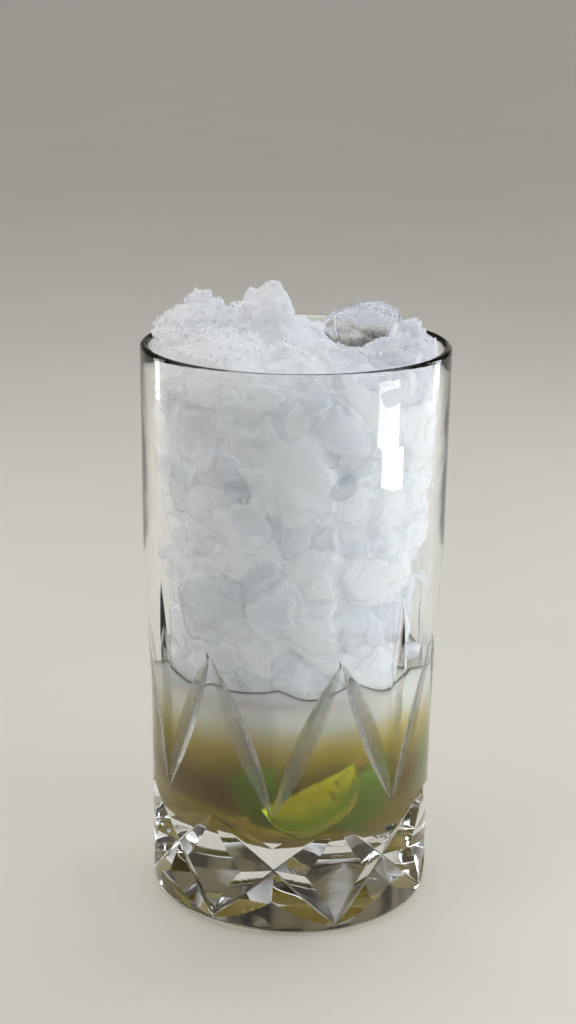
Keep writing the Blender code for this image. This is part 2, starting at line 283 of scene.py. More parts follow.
def object_of(name, mesh):
    """New object of a mesh, in the scene."""
    obj = bpy.data.objects.new(name, mesh)
    bpy.context.scene.collection.objects.link(obj)
    return obj


def mesh_piece(name, points, faces, material):
    """New smooth object from a point array and lists of face corners."""
    mesh = bpy.data.meshes.new(name)
    mesh.from_pydata(points.tolist(), [], faces)
    mesh.materials.append(material)
    mesh.shade_smooth()
    return object_of(name, mesh)


def piece_from_bmesh(name, mesh_data, material):
    """New object from a bmesh."""
    mesh = bpy.data.meshes.new(name)
    mesh_data.to_mesh(mesh)
    mesh_data.free()
    mesh.materials.append(material)
    return object_of(name, mesh)


def evaluated_piece(name, source):
    """New plain object of an object as its modifiers leave it."""
    bpy.context.view_layer.update()
    evaluated = source.evaluated_get(bpy.context.evaluated_depsgraph_get())
    mesh = bpy.data.meshes.new_from_object(evaluated)
    mesh.name = name
    return object_of(name, mesh)


def remove_objects(*objects):
    """Remove helper objects."""
    for obj in objects:
        bpy.data.objects.remove(obj, do_unlink=True)


def place(obj, slot, *nodes):
    """Let a finished piece ride on the part and hide the solids it stands for; its slot is not
    used.
    """
    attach(obj, "root")
    if nodes:
        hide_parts(*nodes)


def smoothstep(value):
    """Ease from 0 to 1."""
    value = np.clip(value, 0.0, 1.0)
    return value * value * (3.0 - 2.0 * value)


def outer_radius(height):
    """Radius of the uncut glass."""
    lean = (RIM_RADIUS - BODY_RADIUS - SWELL) * height / GLASS_HEIGHT
    swell = smoothstep((height - SWELL_START) / (SWELL_END - SWELL_START))
    return BODY_RADIUS + lean + SWELL * swell


def inner_radius(height):
    """Radius of the cavity above its rounded floor corner."""
    share = (height - FLOOR_HEIGHT) / (GLASS_HEIGHT - FLOOR_HEIGHT)
    return FLOOR_RADIUS + (RIM_RADIUS - RIM_WALL - FLOOR_RADIUS) * share


def round_spot(angle, radius, height):
    """Point at an angle round the glass from its front, at a radius and a height."""
    return np.array((radius * math.sin(angle), -radius * math.cos(angle), height))


def arc(centre_r, centre_z, radius, start, end, steps):
    """Points of a round stretch of a profile, angles in degrees."""
    angles = np.radians(np.linspace(start, end, steps + 1))
    return [(centre_r + radius * math.cos(a), centre_z + radius * math.sin(a)) for a in angles]


def cavity_profile(shrink, top, corner_steps, wall_steps):
    """Cavity outline from the floor's middle outwards and up to a height."""
    corner = FLOOR_CORNER - shrink
    start = FLOOR_HEIGHT + FLOOR_CORNER
    wall = inner_radius(start) - shrink
    points = [(0.0, FLOOR_HEIGHT + shrink)]
    points += [((wall - corner) * share, FLOOR_HEIGHT + shrink) for share in (0.35, 0.7)]
    points += arc(wall - corner, start, corner, -90.0, 0.0, corner_steps)
    for height in np.linspace(start, top, wall_steps + 1)[1:]:
        points.append((inner_radius(height) - shrink, height))
    return points


def turned_mesh(profile, segments):
    """Closed turned bmesh from a profile that starts and ends on the axis."""
    mesh_data = bmesh.new()
    rings = []
    for radius, height in profile:
        count = 1 if radius == 0.0 else segments
        angles = [math.tau * segment / segments for segment in range(count)]
        rings.append([mesh_data.verts.new(round_spot(angle, radius, height)) for angle in angles])
    for lower, upper in zip(rings, rings[1:]):
        for segment in range(segments):
            following = (segment + 1) % segments
            corners = [lower[segment % len(lower)], lower[following % len(lower)],
                       upper[following % len(upper)], upper[segment % len(upper)]]
            mesh_data.faces.new(list(dict.fromkeys(corners)))
    bmesh.ops.recalc_face_normals(mesh_data, faces=mesh_data.faces)
    return mesh_data


# ---------------------------------------------------------------- materials

def connect(tree, value, socket):
    """Link a socket to another, or set it to a number, vector, colour or data-block."""
    if isinstance(value, bpy.types.NodeSocket):
        tree.links.new(value, socket)
    elif socket.type == "RGBA":
        socket.default_value = (*value, 1.0)
    else:
        socket.default_value = value


def add_node(tree, kind, inputs, **options):
    """New node with its options and its inputs linked or set."""
    node = tree.nodes.new(kind)
    for name, value in options.items():
        setattr(node, name, value)
    for name, value in inputs.items():
        connect(tree, value, node.inputs[name])
    return node


def new_material(name):
    """Material with its node tree emptied; returns it with its tree and output."""
    material = bpy.data.materials.new(name)
    material.use_nodes = True
    tree = material.node_tree
    tree.nodes.clear()
    output = tree.nodes.new("ShaderNodeOutputMaterial")
    return material, tree, output


def principled(tree, **values):
    """Principled shader with its sockets set by name."""
    inputs = {name.replace("_", " "): value for name, value in values.items()}
    return add_node(tree, "ShaderNodeBsdfPrincipled", inputs)


def let_lamps_through(tree, output, shader, tint):
    """Show a glassy shader, but let lamp light reach what is behind it."""
    path = tree.nodes.new("ShaderNodeLightPath")
    clear = add_node(tree, "ShaderNodeBsdfTransparent", {"Color": tint})
    mix = add_node(tree, "ShaderNodeMixShader", {0: path.outputs["Is Shadow Ray"],
                                                 1: shader.outputs[0], 2: clear.outputs[0]})
    connect(tree, mix.outputs[0], output.inputs["Surface"])


def object_place(tree):
    """Socket with the place on the object."""
    return tree.nodes.new("ShaderNodeTexCoord").outputs["Object"]


def noise_node(tree, scale, detail, vector=None, roughness=0.5, output="Fac"):
    """Output of a noise texture on object coordinates or a vector, in waves per metre."""
    return add_node(tree, "ShaderNodeTexNoise", {
        "Scale": scale, "Detail": detail, "Roughness": roughness,
        "Vector": vector or object_place(tree)}).outputs[output]


def parts_of(tree, vector):
    """X, Y and Z sockets of a vector."""
    return add_node(tree, "ShaderNodeSeparateXYZ", {0: vector}).outputs


def math_node(tree, operation, *values):
    """Output of a math node on sockets or numbers."""
    return add_node(tree, "ShaderNodeMath", dict(enumerate(values)), operation=operation).outputs[0]


def map_node(tree, value, low, high, to_low=0.0, to_high=1.0, interpolation="LINEAR"):
    """Output of a Map Range node."""
    inputs = {"Value": value, "From Min": low, "From Max": high, "To Min": to_low,
              "To Max": to_high}
    node = add_node(tree, "ShaderNodeMapRange", inputs, interpolation_type=interpolation)
    return node.outputs["Result"]


def mix_node(tree, share, first, second, blend="MIX"):
    """Output of a colour mix on sockets or colours."""
    return add_node(tree, "ShaderNodeMix", {0: share, 6: first, 7: second}, data_type="RGBA",
                    blend_type=blend).outputs[2]


def attribute_of(tree, name):
    """Outputs of an attribute node."""
    return add_node(tree, "ShaderNodeAttribute", {}, attribute_name=name).outputs


def bump_node(tree, shader, height_socket, distance, strength=1.0):
    """Give a shader a bump from a height socket."""
    bump = add_node(tree, "ShaderNodeBump", {"Distance": distance, "Strength": strength,
                                             "Height": height_socket})
    connect(tree, bump.outputs["Normal"], shader.inputs["Normal"])


def ramp_node(tree, value_socket, stops):
    """Output of a colour ramp from stops of a position and a colour or a grey."""
    ramp = add_node(tree, "ShaderNodeValToRGB", {"Fac": value_socket})
    elements = ramp.color_ramp.elements
    while len(elements) < len(stops):
        elements.new(0.5)
    for element, (position, value) in zip(elements, stops):
        element.position = position
        element.color = (value, value, value, 1.0) if isinstance(value, float) else (*value, 1.0)
    return ramp.outputs["Color"]


def new_group(name, kind, inputs, outputs):
    """Node group with sockets of given kinds; returns it with its input and output nodes."""
    group = bpy.data.node_groups.new(name, kind)
    for in_out, sockets in (("INPUT", inputs), ("OUTPUT", outputs)):
        for socket, socket_kind in sockets.items():
            group.interface.new_socket(socket, in_out=in_out,
                                       socket_type="NodeSocket" + socket_kind)
    return group, group.nodes.new("NodeGroupInput"), group.nodes.new("NodeGroupOutput")


def placed_group(tree, group, inputs):
    """Output sockets of a shader group placed in a tree with its own values."""
    return add_node(tree, "ShaderNodeGroup", inputs, node_tree=group).outputs


def crystal_shader(tree, tint, **values):
    """The glass's own shader."""
    return principled(tree, Base_Color=tint, Roughness=0.0, IOR=1.52, Transmission_Weight=1.0,
                      **values)


def crystal_material(settings):
    """Clear pressed crystal with a faint waviness."""
    material, tree, output = new_material("cut_crystal")
    shader = crystal_shader(tree, settings.tint)
    bump_node(tree, shader, noise_node(tree, 90.0, 1.0), 0.12 * MM, 0.5)
    let_lamps_through(tree, output, shader, CRYSTAL_PASSES)
    return material


def wet_crystal_material(settings):
    """The same glass where the drink wets it, so that next to nothing mirrors in it."""
    material, tree, output = new_material("wet_crystal")
    shader = crystal_shader(tree, settings.tint, Specular_Tint=FAINT_MIRROR)
    let_lamps_through(tree, output, shader, CRYSTAL_PASSES)
    return material


def drink_depth_group():
    """Shader group: 0 at the drink's bottom to 1 at its level, pushed about by noise."""
    group = bpy.data.node_groups.get("Drink Depth")
    if group:
        return group
    group, source, result = new_group("Drink Depth", "ShaderNodeTree", {"Waver": "Float"},
                                      {"Share": "Float"})
    clouds = noise_node(group, 70.0, 3.0)
    centred = math_node(group, "ADD", clouds, -0.5)
    height = math_node(group, "MULTIPLY_ADD", centred, source.outputs["Waver"],
                       parts_of(group, object_place(group))["Z"])
    connect(group, map_node(group, height, FLOOR_HEIGHT, DRINK_LEVEL), result.inputs["Share"])
    return group


def drink_material(settings):
    """Cloudy drink, pale under the ice and golden brown at the bottom."""
    material, tree, output = new_material("lime_drink")
    shader = principled(tree, Roughness=0.36, IOR=1.34, Transmission_Weight=0.82,
                        Specular_IOR_Level=0.0, Specular_Tint=FAINT_MIRROR)
    depth = placed_group(tree, drink_depth_group(), {"Waver": 9.0 * MM})["Share"]
    top, middle, bottom = (tuple(part ** SHELL_POWER for part in tint)
                           for tint in (settings.top, settings.middle, settings.bottom))
    body = ramp_node(tree, depth, ((0.0, bottom), (0.38, bottom), (0.58, middle), (0.82, top)))
    # Painted shade: the edge mask mixes the dark meniscus colour into the drink where it climbs the
    # wall
    edge = attribute_of(tree, "edge")["Fac"]
    connect(tree, mix_node(tree, edge, body, MENISCUS_SHADE), shader.inputs["Base Color"])
    let_lamps_through(tree, output, shader, (0.94, 0.93, 0.80))
    return material


def lime_material(settings):
    """Lime wedge: skin, pith and pulp by their depth in the fruit."""
    material, tree, output = new_material("lime_flesh")
    shader = principled(tree, Roughness=0.3, Subsurface_Weight=0.5, Subsurface_Scale=4.0 * MM,
                        Specular_IOR_Level=0.1)
    flesh = attribute_of(tree, "flesh")["Vector"]
    cells = noise_node(tree, 330.0, 3.0)
    mottle = math_node(tree, "MULTIPLY_ADD", cells, 0.16, -0.08)
    depth = math_node(tree, "ADD", parts_of(tree, flesh)["Y"], mottle)
    drawn_out = add_node(tree, "ShaderNodeVectorMath", {0: flesh, 1: BEADS_PER_WEDGE},
                         operation="MULTIPLY")
    beads = noise_node(tree, 1.0, 2.0, drawn_out.outputs[0])
    deep = tuple(0.45 * part for part in settings.pulp)
    juicy = ramp_node(tree, beads, ((0.34, deep), (0.46, settings.pulp), (0.56, settings.pulp),
                                    (0.66, settings.pith)))
    greener = ramp_node(tree, depth, ((0.30, 1.0), (0.72, (0.30, 0.62, 0.40))))
    pulp = mix_node(tree, 1.0, juicy, greener, "MULTIPLY")
    knobbly = tuple(1.9 * part for part in settings.peel)
    skin = ramp_node(tree, cells, ((0.40, settings.peel), (0.66, knobbly)))
    rind = ramp_node(tree, depth, ((0.0, 0.0), (0.76, 0.0), (0.84, 1.0)))
    outside = ramp_node(tree, depth, ((0.88, 0.0), (0.94, 1.0)))
    fruit = mix_node(tree, rind, pulp, settings.pith)
    connect(tree, mix_node(tree, outside, fruit, skin), shader.inputs["Base Color"])
    bump_node(tree, shader, cells, 0.6 * MM)
    connect(tree, shader.outputs[0], output.inputs["Surface"])
    return material


def ice_surface_group():
    """Shader group with the look all ice shares: chunks with painted shade at their joints and a
    painted highlight near their edges, clouds in them and fine pits.
    """
    group = bpy.data.node_groups.get("Ice Surface")
    if group:
        return group
    group, source, result = new_group(
        "Ice Surface", "ShaderNodeTree",
        dict.fromkeys(("Tone And Painted Light", "Chunk Scale", "Chunk Contrast", "Chunk Relief", "Pit Scale",
                       "Pit Relief"), "Float"),
        dict.fromkeys(("Tone And Painted Light", "Height", "Cloud"), "Float"))
    stirred = add_node(group, "ShaderNodeVectorMath", {
        0: noise_node(group, 150.0, 2.0, output="Color"), 1: (STIR, STIR, STIR),
        2: object_place(group)}, operation="MULTIPLY_ADD").outputs[0]

    def chunks(scale, feature="F1"):
        return add_node(group, "ShaderNodeTexVoronoi", {"Vector": stirred, "Scale": scale},
                        feature=feature).outputs

    def own_numbers(scale):
        return add_node(group, "ShaderNodeSeparateColor", {0: chunks(scale)["Color"]}).outputs

    scale = source.outputs["Chunk Scale"]
    own = own_numbers(scale)
    small_own = own_numbers(math_node(group, "MULTIPLY", scale, 2.7))
    to_edge = chunks(scale, "DISTANCE_TO_EDGE")["Distance"]
    rounded = map_node(group, to_edge, 0.0, 0.16, interpolation="SMOOTHSTEP")
    fades = noise_node(group, 60.0, 1.0)
    faded = map_node(group, fades, 0.42, 0.62, interpolation="SMOOTHSTEP")
    outline = math_node(group, "MAXIMUM", faded, rounded)
    # Painted shade in the joints between chunks and a painted highlight a little in from their
    # edges, added to each chunk's random tone
    painted_edge_light = ramp_node(group, to_edge, ((0.0, 0.10), (0.025, 0.35), (0.07, 1.0), (0.16, 0.62),
                                        (0.30, 0.55)))
    clouds = noise_node(group, 130.0, 3.0)
    pits = noise_node(group, source.outputs["Pit Scale"], 3.0, roughness=0.65)
    chunk_tone_and_light = math_node(group, "MULTIPLY_ADD", painted_edge_light, 0.7, own["Red"])
    grainy = math_node(group, "MULTIPLY_ADD", small_own["Red"], 0.45, chunk_tone_and_light)
    shifted = math_node(group, "ADD", grainy, -1.15)
    toned = math_node(group, "MULTIPLY_ADD", shifted, source.outputs["Chunk Contrast"],
                      source.outputs["Tone And Painted Light"])
    tall = math_node(group, "MULTIPLY_ADD", own["Green"], 0.5, outline)
    chunk_height = math_node(group, "MULTIPLY", tall, source.outputs["Chunk Relief"])
    connect(group, math_node(group, "MULTIPLY_ADD", clouds, 0.9, toned), result.inputs["Tone And Painted Light"])
    connect(group, math_node(group, "MULTIPLY_ADD", pits, source.outputs["Pit Relief"],
                             chunk_height), result.inputs["Height"])
    connect(group, clouds, result.inputs["Cloud"])
    return group


def ice_material(name, tint, shade, look, passing=0.85):
    """Ice whose tone, random and painted light alike, runs from shade to tint, with its own
    clearness and relief.
    """
    material, tree, output = new_material(name)
    surface = placed_group(tree, ice_surface_group(), {
        "Tone And Painted Light": attribute_of(tree, "tone_and_painted_light")["Fac"],
        "Chunk Scale": 1.0 / look.get("chunk", 9.0 * MM),
        "Chunk Contrast": look.get("contrast", 0.0),
        "Chunk Relief": look.get("relief", 0.0),
        "Pit Scale": look.get("pit_scale", 700.0),
        "Pit Relief": look["pits"]})
    gloss = look["roughness"]
    shader = principled(
        tree, IOR=1.31, Transmission_Weight=look["clearness"], Subsurface_Weight=1.0,
        Subsurface_Scale=5.0 * MM, Subsurface_Radius=(0.95, 0.98, 1.0),
        Base_Color=ramp_node(tree, surface["Tone And Painted Light"], ((0.0, shade), (1.0, tint))),
        Roughness=map_node(tree, surface["Cloud"], 0.35, 0.65, gloss, gloss + 0.15))
    bump_node(tree, shader, surface["Height"], 1.0)
    let_lamps_through(tree, output, shader, (passing, passing, passing))
    return material


def floor_material(settings):
    """Matt pale floor with a faint mottle."""
    material, tree, output = new_material("floor")
    low = tuple(part * 0.97 for part in settings.floor_colour)
    mottle = noise_node(tree, 9.0, 3.0)
    colours = ramp_node(tree, mottle, ((0.3, low), (0.7, settings.floor_colour)))
    shader = principled(tree, Roughness=0.55, Base_Color=colours)
    connect(tree, shader.outputs[0], output.inputs["Surface"])
    return material


# ---------------------------------------------------------------- crystal

def wall_point(angle, height, lift=0.0):
    """Point on the glass's outer wall and its outward direction."""
    outward = Vector((math.sin(angle), -math.cos(angle), 0.0))
    return outward * (float(outer_radius(height)) + lift) + Vector((0.0, 0.0, height)), outward


def groove_section(sink, slope):
    """Open V across a cut, round at its bottom and lips: (sideways, outwards) points."""
    flank = math.pi / 2.0 - slope
    rise = 1.0 / math.cos(flank) - 1.0
    bottom_round = min(CUT_BOTTOM_ROUND, 0.45 * max(sink, 0.0) / rise + 0.01 * MM)
    centre = -sink + bottom_round / math.cos(flank)
    points = []
    for step in range(CUT_BOTTOM_STEPS + 1):
        lean = flank * (2.0 * step / CUT_BOTTOM_STEPS - 1.0)
        points.append((bottom_round * math.sin(lean), centre - bottom_round * math.cos(lean)))
    lip = []
    if sink > 0.1 * MM:
        lip_round = min(CUT_LIP_ROUND, 0.45 * sink / rise)
        edge = sink * math.tan(slope)
        middle = edge + lip_round * math.tan(flank / 2.0)
        for step in range(CUT_LIP_STEPS + 1):
            lean = flank * (1.0 - step / CUT_LIP_STEPS)
            lip.append((middle - lip_round * math.sin(lean), -lip_round * (1.0 - math.cos(lean))))
        lip.append((middle + 3.0 * CUT_CLEARANCE, CUT_CLEARANCE))
    else:
        edge = (sink + CUT_CLEARANCE) * math.tan(slope)
        lip = [(edge * share, CUT_CLEARANCE) for share in
               np.linspace(0.8, 1.0, CUT_LIP_STEPS + 2)]
    return [(-across, out) for across, out in reversed(lip)] + points + lip


def groove_cutter(name, start, end, depth, slope, material, steps=44):
    """Cutter along the wall, deepest halfway and tapering to both points."""
    mesh_data = bmesh.new()
    sections = []
    for step in range(steps + 1):
        share = -CUT_OVERRUN + (1.0 + 2.0 * CUT_OVERRUN) * step / steps
        angle = start[0] + (end[0] - start[0]) * share
        height = start[1] + (end[1] - start[1]) * share
        centre, outward = wall_point(angle, height)
        ahead, _ = wall_point(angle + (end[0] - start[0]) * 0.01,
                              height + (end[1] - start[1]) * 0.01)
        sideways = outward.cross((ahead - centre).normalized())
        sink = depth * (1.0 - (2.0 * share - 1.0) ** 2)
        sections.append([mesh_data.verts.new(centre + sideways * across + outward * out)
                         for across, out in groove_section(sink, slope)])
    corners = len(sections[0])
    for before, after in zip(sections, sections[1:]):
        for corner in range(corners):
            following = (corner + 1) % corners
            mesh_data.faces.new((before[corner], before[following],
                                 after[following], after[corner]))
    mesh_data.faces.new(sections[0])
    mesh_data.faces.new(sections[-1])
    bmesh.ops.triangulate(mesh_data, faces=mesh_data.faces)
    bmesh.ops.recalc_face_normals(mesh_data, faces=mesh_data.faces)
    return piece_from_bmesh(name, mesh_data, material)


def one_repeat_of_cuts(settings, material):
    """The five cutters of one repeat: two crossing arms and three leaves."""
    low = CROSS_HEIGHT - CROSS_RISE
    high = CROSS_HEIGHT + CROSS_RISE
    cuts = {}
    for name, side in (("Falling Arm", -1.0), ("Rising Arm", 1.0)):
        cuts[name] = groove_cutter(name, (-side * CROSS_REACH, low), (side * CROSS_REACH, high),
                                   settings.cross_depth, CROSS_SLOPE, material)
    for name, side in (("Left Leaf", -1.0), ("Middle Leaf", 0.0), ("Right Leaf", 1.0)):
        top = FAN_SIDE_TOP if side else FAN_MIDDLE_TOP
        cuts[name] = groove_cutter(name, (0.0, FAN_FOOT), (side * FAN_REACH, top),
                                   settings.fan_depth, FAN_SLOPE, material)
    return cuts


def finish_tree(tree, geometry, material, result):
    """End a geometry tree in real meshes with their material."""
    real = add_node(tree, "GeometryNodeRealizeInstances", {0: geometry})
    finish = add_node(tree, "GeometryNodeSetMaterial", {"Geometry": real.outputs[0],
                                                        "Material": material})
    connect(tree, finish.outputs[0], result.inputs["Geometry"])


def cut_pattern_tree(cut_names):
    """Geometry nodes that turn each cutter round the glass and cut with it."""
    inputs = {"Geometry": "Geometry", "Repeats": "Int", "First Cross": "Float",
              **dict.fromkeys(cut_names, "Object"), "Finish": "Material"}
    tree, source, result = new_group("Cut Pattern", "GeometryNodeTree", inputs,
                                     {"Geometry": "Geometry"})
    given = source.outputs
    points = add_node(tree, "GeometryNodePoints", {"Count": given["Repeats"]}).outputs[0]
    step = math_node(tree, "DIVIDE", math.tau, given["Repeats"])
    index = tree.nodes.new("GeometryNodeInputIndex").outputs[0]
    turn = math_node(tree, "MULTIPLY_ADD", index, step, given["First Cross"])
    angles = add_node(tree, "ShaderNodeCombineXYZ", {"Z": turn}).outputs[0]
    body = given["Geometry"]
    for name in cut_names:
        cutter = add_node(tree, "GeometryNodeObjectInfo", {"Object": given[name]})
        copies = add_node(tree, "GeometryNodeInstanceOnPoints", {
            "Points": points, "Instance": cutter.outputs["Geometry"], "Rotation": angles})
        real = add_node(tree, "GeometryNodeRealizeInstances", {0: copies.outputs[0]})
        cut = add_node(tree, "GeometryNodeMeshBoolean", {
            "Mesh 1": body, "Mesh 2": real.outputs[0]}, operation="DIFFERENCE", solver="MANIFOLD")
        body = cut.outputs["Mesh"]
    finish_tree(tree, body, given["Finish"], result)
    return tree


def baked_object(name, source, values, tree):
    """Plain mesh object of a source object with a geometry nodes tree run on it."""
    modifier = source.modifiers.new("nodes", "NODES")
    modifier.node_group = tree
    for item in tree.interface.items_tree:
        if item.item_type == "SOCKET" and item.in_out == "INPUT" and item.name in values:
            modifier[item.identifier] = values[item.name]
    obj = evaluated_piece(name, source)
    source.modifiers.remove(modifier)
    return obj


def glass_profile():
    """Outside from the foot's middle up, over the rim and down the cavity."""
    foot_radius = float(outer_radius(FOOT_ROUND))
    points = [(0.0, 0.0)]
    points += [((foot_radius - FOOT_ROUND) * share, 0.0) for share in (0.4, 0.8)]
    points += arc(foot_radius - FOOT_ROUND, FOOT_ROUND, FOOT_ROUND, -90.0, 0.0, steps=10)
    rim_round = RIM_WALL / 2.0
    rim_start = GLASS_HEIGHT - rim_round
    for height in np.linspace(FOOT_ROUND, rim_start, 46)[1:-1]:
        points.append((float(outer_radius(height)), height))
    points += arc(RIM_RADIUS - rim_round, rim_start, rim_round, 0.0, 180.0, steps=14)
    cavity = cavity_profile(0.0, rim_start, corner_steps=12, wall_steps=24)
    points += reversed(cavity[:-1])
    return points


class CAIPIRINHA_OT_crystal(bpy.types.Operator):
    """Make the cut glass"""
    bl_idname = "caipirinha.crystal"
    bl_label = "Cut Glass"

    def execute(self, context):
        settings = context.scene.caipirinha_crystal
        material = crystal_material(settings)
        blank = piece_from_bmesh("blank", turned_mesh(glass_profile(), segments=224), material)
        cuts = one_repeat_of_cuts(settings, material)
        tree = cut_pattern_tree(list(cuts))
        values = {**cuts, "Repeats": REPEATS, "First Cross": FIRST_CROSS, "Finish": material}
        glass = baked_object("cut_glass", blank, values, tree)
        remove_objects(blank, *cuts.values())
        glass.data.shade_smooth()
        glass.data.set_sharp_from_angle(angle=12.0 * DEG)
        glass.data.materials.append(wet_crystal_material(settings))
        for face in glass.data.polygons:
            height = face.center.z
            inside = math.hypot(face.center.x, face.center.y) < inner_radius(height) + WET_REACH
            if inside and FLOOR_HEIGHT - WET_REACH < height < DRINK_LEVEL:
                face.material_index = 1
        place(glass, "crystal", "glass")
        return {"FINISHED"}


# ---------------------------------------------------------------- drink and limes

def drink_profile(settings):
    """Drink outline: into the wall, up to the meniscus and in over the top."""
    reach = settings.wall_reach
    top = DRINK_LEVEL + settings.meniscus
    points = cavity_profile(-reach, top, corner_steps=12, wall_steps=60)
    wall = inner_radius(DRINK_LEVEL)
    for share in np.linspace(0.0, 1.0, 7):
        climb = settings.meniscus * (1.0 - share) ** 2
        points.append((wall - PIECE_GAP - share * MENISCUS_WIDTH, DRINK_LEVEL + climb))
    points.append((0.0, DRINK_LEVEL))
    return points


def cloudy_core(settings):
    """What is seen where the light no longer gets through the drink."""
    material, tree, output = new_material("cloudy_juice")
    depth = placed_group(tree, drink_depth_group(), {"Waver": 14.0 * MM})["Share"]
    body = ramp_node(tree, depth, ((0.0, settings.bottom), (0.34, settings.bottom),
                                   (0.56, settings.middle), (0.80, settings.top)))
    shader = principled(tree, Base_Color=body, Roughness=0.6, IOR=1.34, Subsurface_Weight=1.0,
                        Subsurface_Scale=12.0 * MM, Specular_IOR_Level=0.0)
    let_lamps_through(tree, output, shader, (0.6, 0.58, 0.45))
    top = DRINK_LEVEL - 1.0 * MM
    profile = cavity_profile(settings.clear_depth, top, corner_steps=6, wall_steps=24)
    profile.append((0.0, top))
    mesh_data = turned_mesh(profile, segments=96)
    for vertex in mesh_data.verts:
        sway = noise.noise_vector(vertex.co / CORE_SWAY_LENGTH)
        vertex.co += Vector((sway.x, sway.y, 0.0)) * CORE_SWAY
    core = piece_from_bmesh("cloudy_juice", mesh_data, material)
    core.data.shade_smooth()
    return core


class CAIPIRINHA_OT_drink(bpy.types.Operator):
    """Make the drink"""
    bl_idname = "caipirinha.drink"
    bl_label = "Drink"

    def execute(self, context):
        settings = context.scene.caipirinha_drink
        material = drink_material(settings)
        mesh_data = turned_mesh(drink_profile(settings), segments=200)
        # Mask of the painted shade along the meniscus, where the drink climbs the wall above its
        # level
        edge = mesh_data.verts.layers.float.new("edge")
        for vertex in mesh_data.verts:
            over = vertex.co.z - DRINK_LEVEL + LEVEL_BAND
            if over > 0.0:
                vertex[edge] = smoothstep((over - EDGE_START) / EDGE_WIDTH)
                angle = math.atan2(vertex.co.x, -vertex.co.y)
                out = math.hypot(vertex.co.x, vertex.co.y) / inner_radius(DRINK_LEVEL)
                lobes = abs(math.sin(6.0 * angle + 0.4)) + 0.35 * math.sin(9.0 * angle + 1.0)
                lift = LEVEL_WAVE * (0.5 - lobes) * min(1.0, out) ** 4
                vertex.co.z += lift * min(1.0, over / LEVEL_BAND)
        drink = piece_from_bmesh("lime_drink", mesh_data, material)
        drink.data.shade_smooth()
        drink.data.set_sharp_from_angle(angle=50.0 * DEG)
        place(drink, "lime_drink", "drink")
        place(cloudy_core(settings), "lime_drink")
        return {"FINISHED"}


def lime_wedge(material, name, half_length, radius, opening):
    """Wedge of lime along X: skin below, two cut faces meeting at the core line."""
    along, across, inward = 28, 16, 12
    points, flesh, faces = [], [], []

    def rim(turn, run):
        lean = math.sqrt(max(0.0, 1.0 - abs(run) ** 2.4))
        reach = radius * (0.10 + 0.90 * lean)
        return Vector((half_length * run, reach * math.sin(turn), -reach * math.cos(turn)))

    def grid(columns, rows, corner):
        base = len(points)
        for row in range(rows + 1):
            for column in range(columns + 1):
                spot, depth = corner(column / columns, row / rows)
                points.append(spot)
                flesh.extend((0.5 + 0.5 * spot.x / half_length, depth, 20.0 * spot.y))
        for row in range(rows):
            for column in range(columns):
                first = base + row * (columns + 1) + column
                faces.append((first, first + 1, first + columns + 2, first + columns + 1))

    def core(run):
        return Vector((half_length * run, 0.0, -0.04 * radius))

    def skin(u, v):
        return rim((v - 0.5) * opening, 2.0 * u - 1.0), 1.0

    def cut_face(side):
        def corner(u, v):
            run = 2.0 * u - 1.0
            spot = core(run).lerp(rim(side * 0.5 * opening, run), v)
            dent = noise.noise(spot * 260.0) * 0.7 * MM * math.sin(math.pi * v)
            spot.y += side * dent
            return spot, v
        return corner

    grid(along, across, skin)
    grid(along, inward, cut_face(-1.0))
    grid(along, inward, cut_face(1.0))
    for end in (-1.0, 1.0):
        def cap(u, v, end=end):
            return core(end).lerp(rim((u - 0.5) * opening, end), v), 0.9 + 0.1 * v
        grid(across, 1, cap)
    mesh = bpy.data.meshes.new(name)
    mesh.from_pydata(points, [], faces)
    mesh.attributes.new("flesh", "FLOAT_VECTOR", "POINT").data.foreach_set("vector", flesh)
    mesh_data = bmesh.new()
    mesh_data.from_mesh(mesh)
    bmesh.ops.remove_doubles(mesh_data, verts=mesh_data.verts, dist=0.00005)
    bmesh.ops.recalc_face_normals(mesh_data, faces=mesh_data.faces)
    mesh_data.to_mesh(mesh)
    mesh_data.free()
    mesh.materials.append(material)
    mesh.shade_smooth()
    mesh.set_sharp_from_angle(angle=40.0 * DEG)
    return object_of(name, mesh)


# Each wedge: angle round the glass, distance from the axis and height in millimetres, its
# share of the full size and its three turns
LIME_PLACES = (
    (12.0, 28.0, 35.5, 0.98, (34.0, -26.0, 12.0)),
    (-12.0, 26.5, 36.0, 0.85, (-82.0, 58.0, -12.0)),
    (35.0, 24.5, 33.5, 0.95, (-80.0, -32.0, 35.0)),
    (-50.0, 17.5, 35.0, 0.95, (-80.0, 20.0, -50.0)),
    (150.0, 22.0, 37.0, 1.0, (34.0, 20.0, 150.0)),
    (98.0, 23.0, 36.0, 1.0, (-90.0, 10.0, 98.0)),
    (-130.0, 23.0, 37.0, 1.0, (34.0, -30.0, -130.0)),
)
LIME_HALF_LENGTH = 13.0 * MM
LIME_RADIUS = 14.5 * MM
LIME_OPENING = 68.0 * DEG

# The wedges turn about a point this far under their core line
LIME_MIDDLE = 7.5 * MM


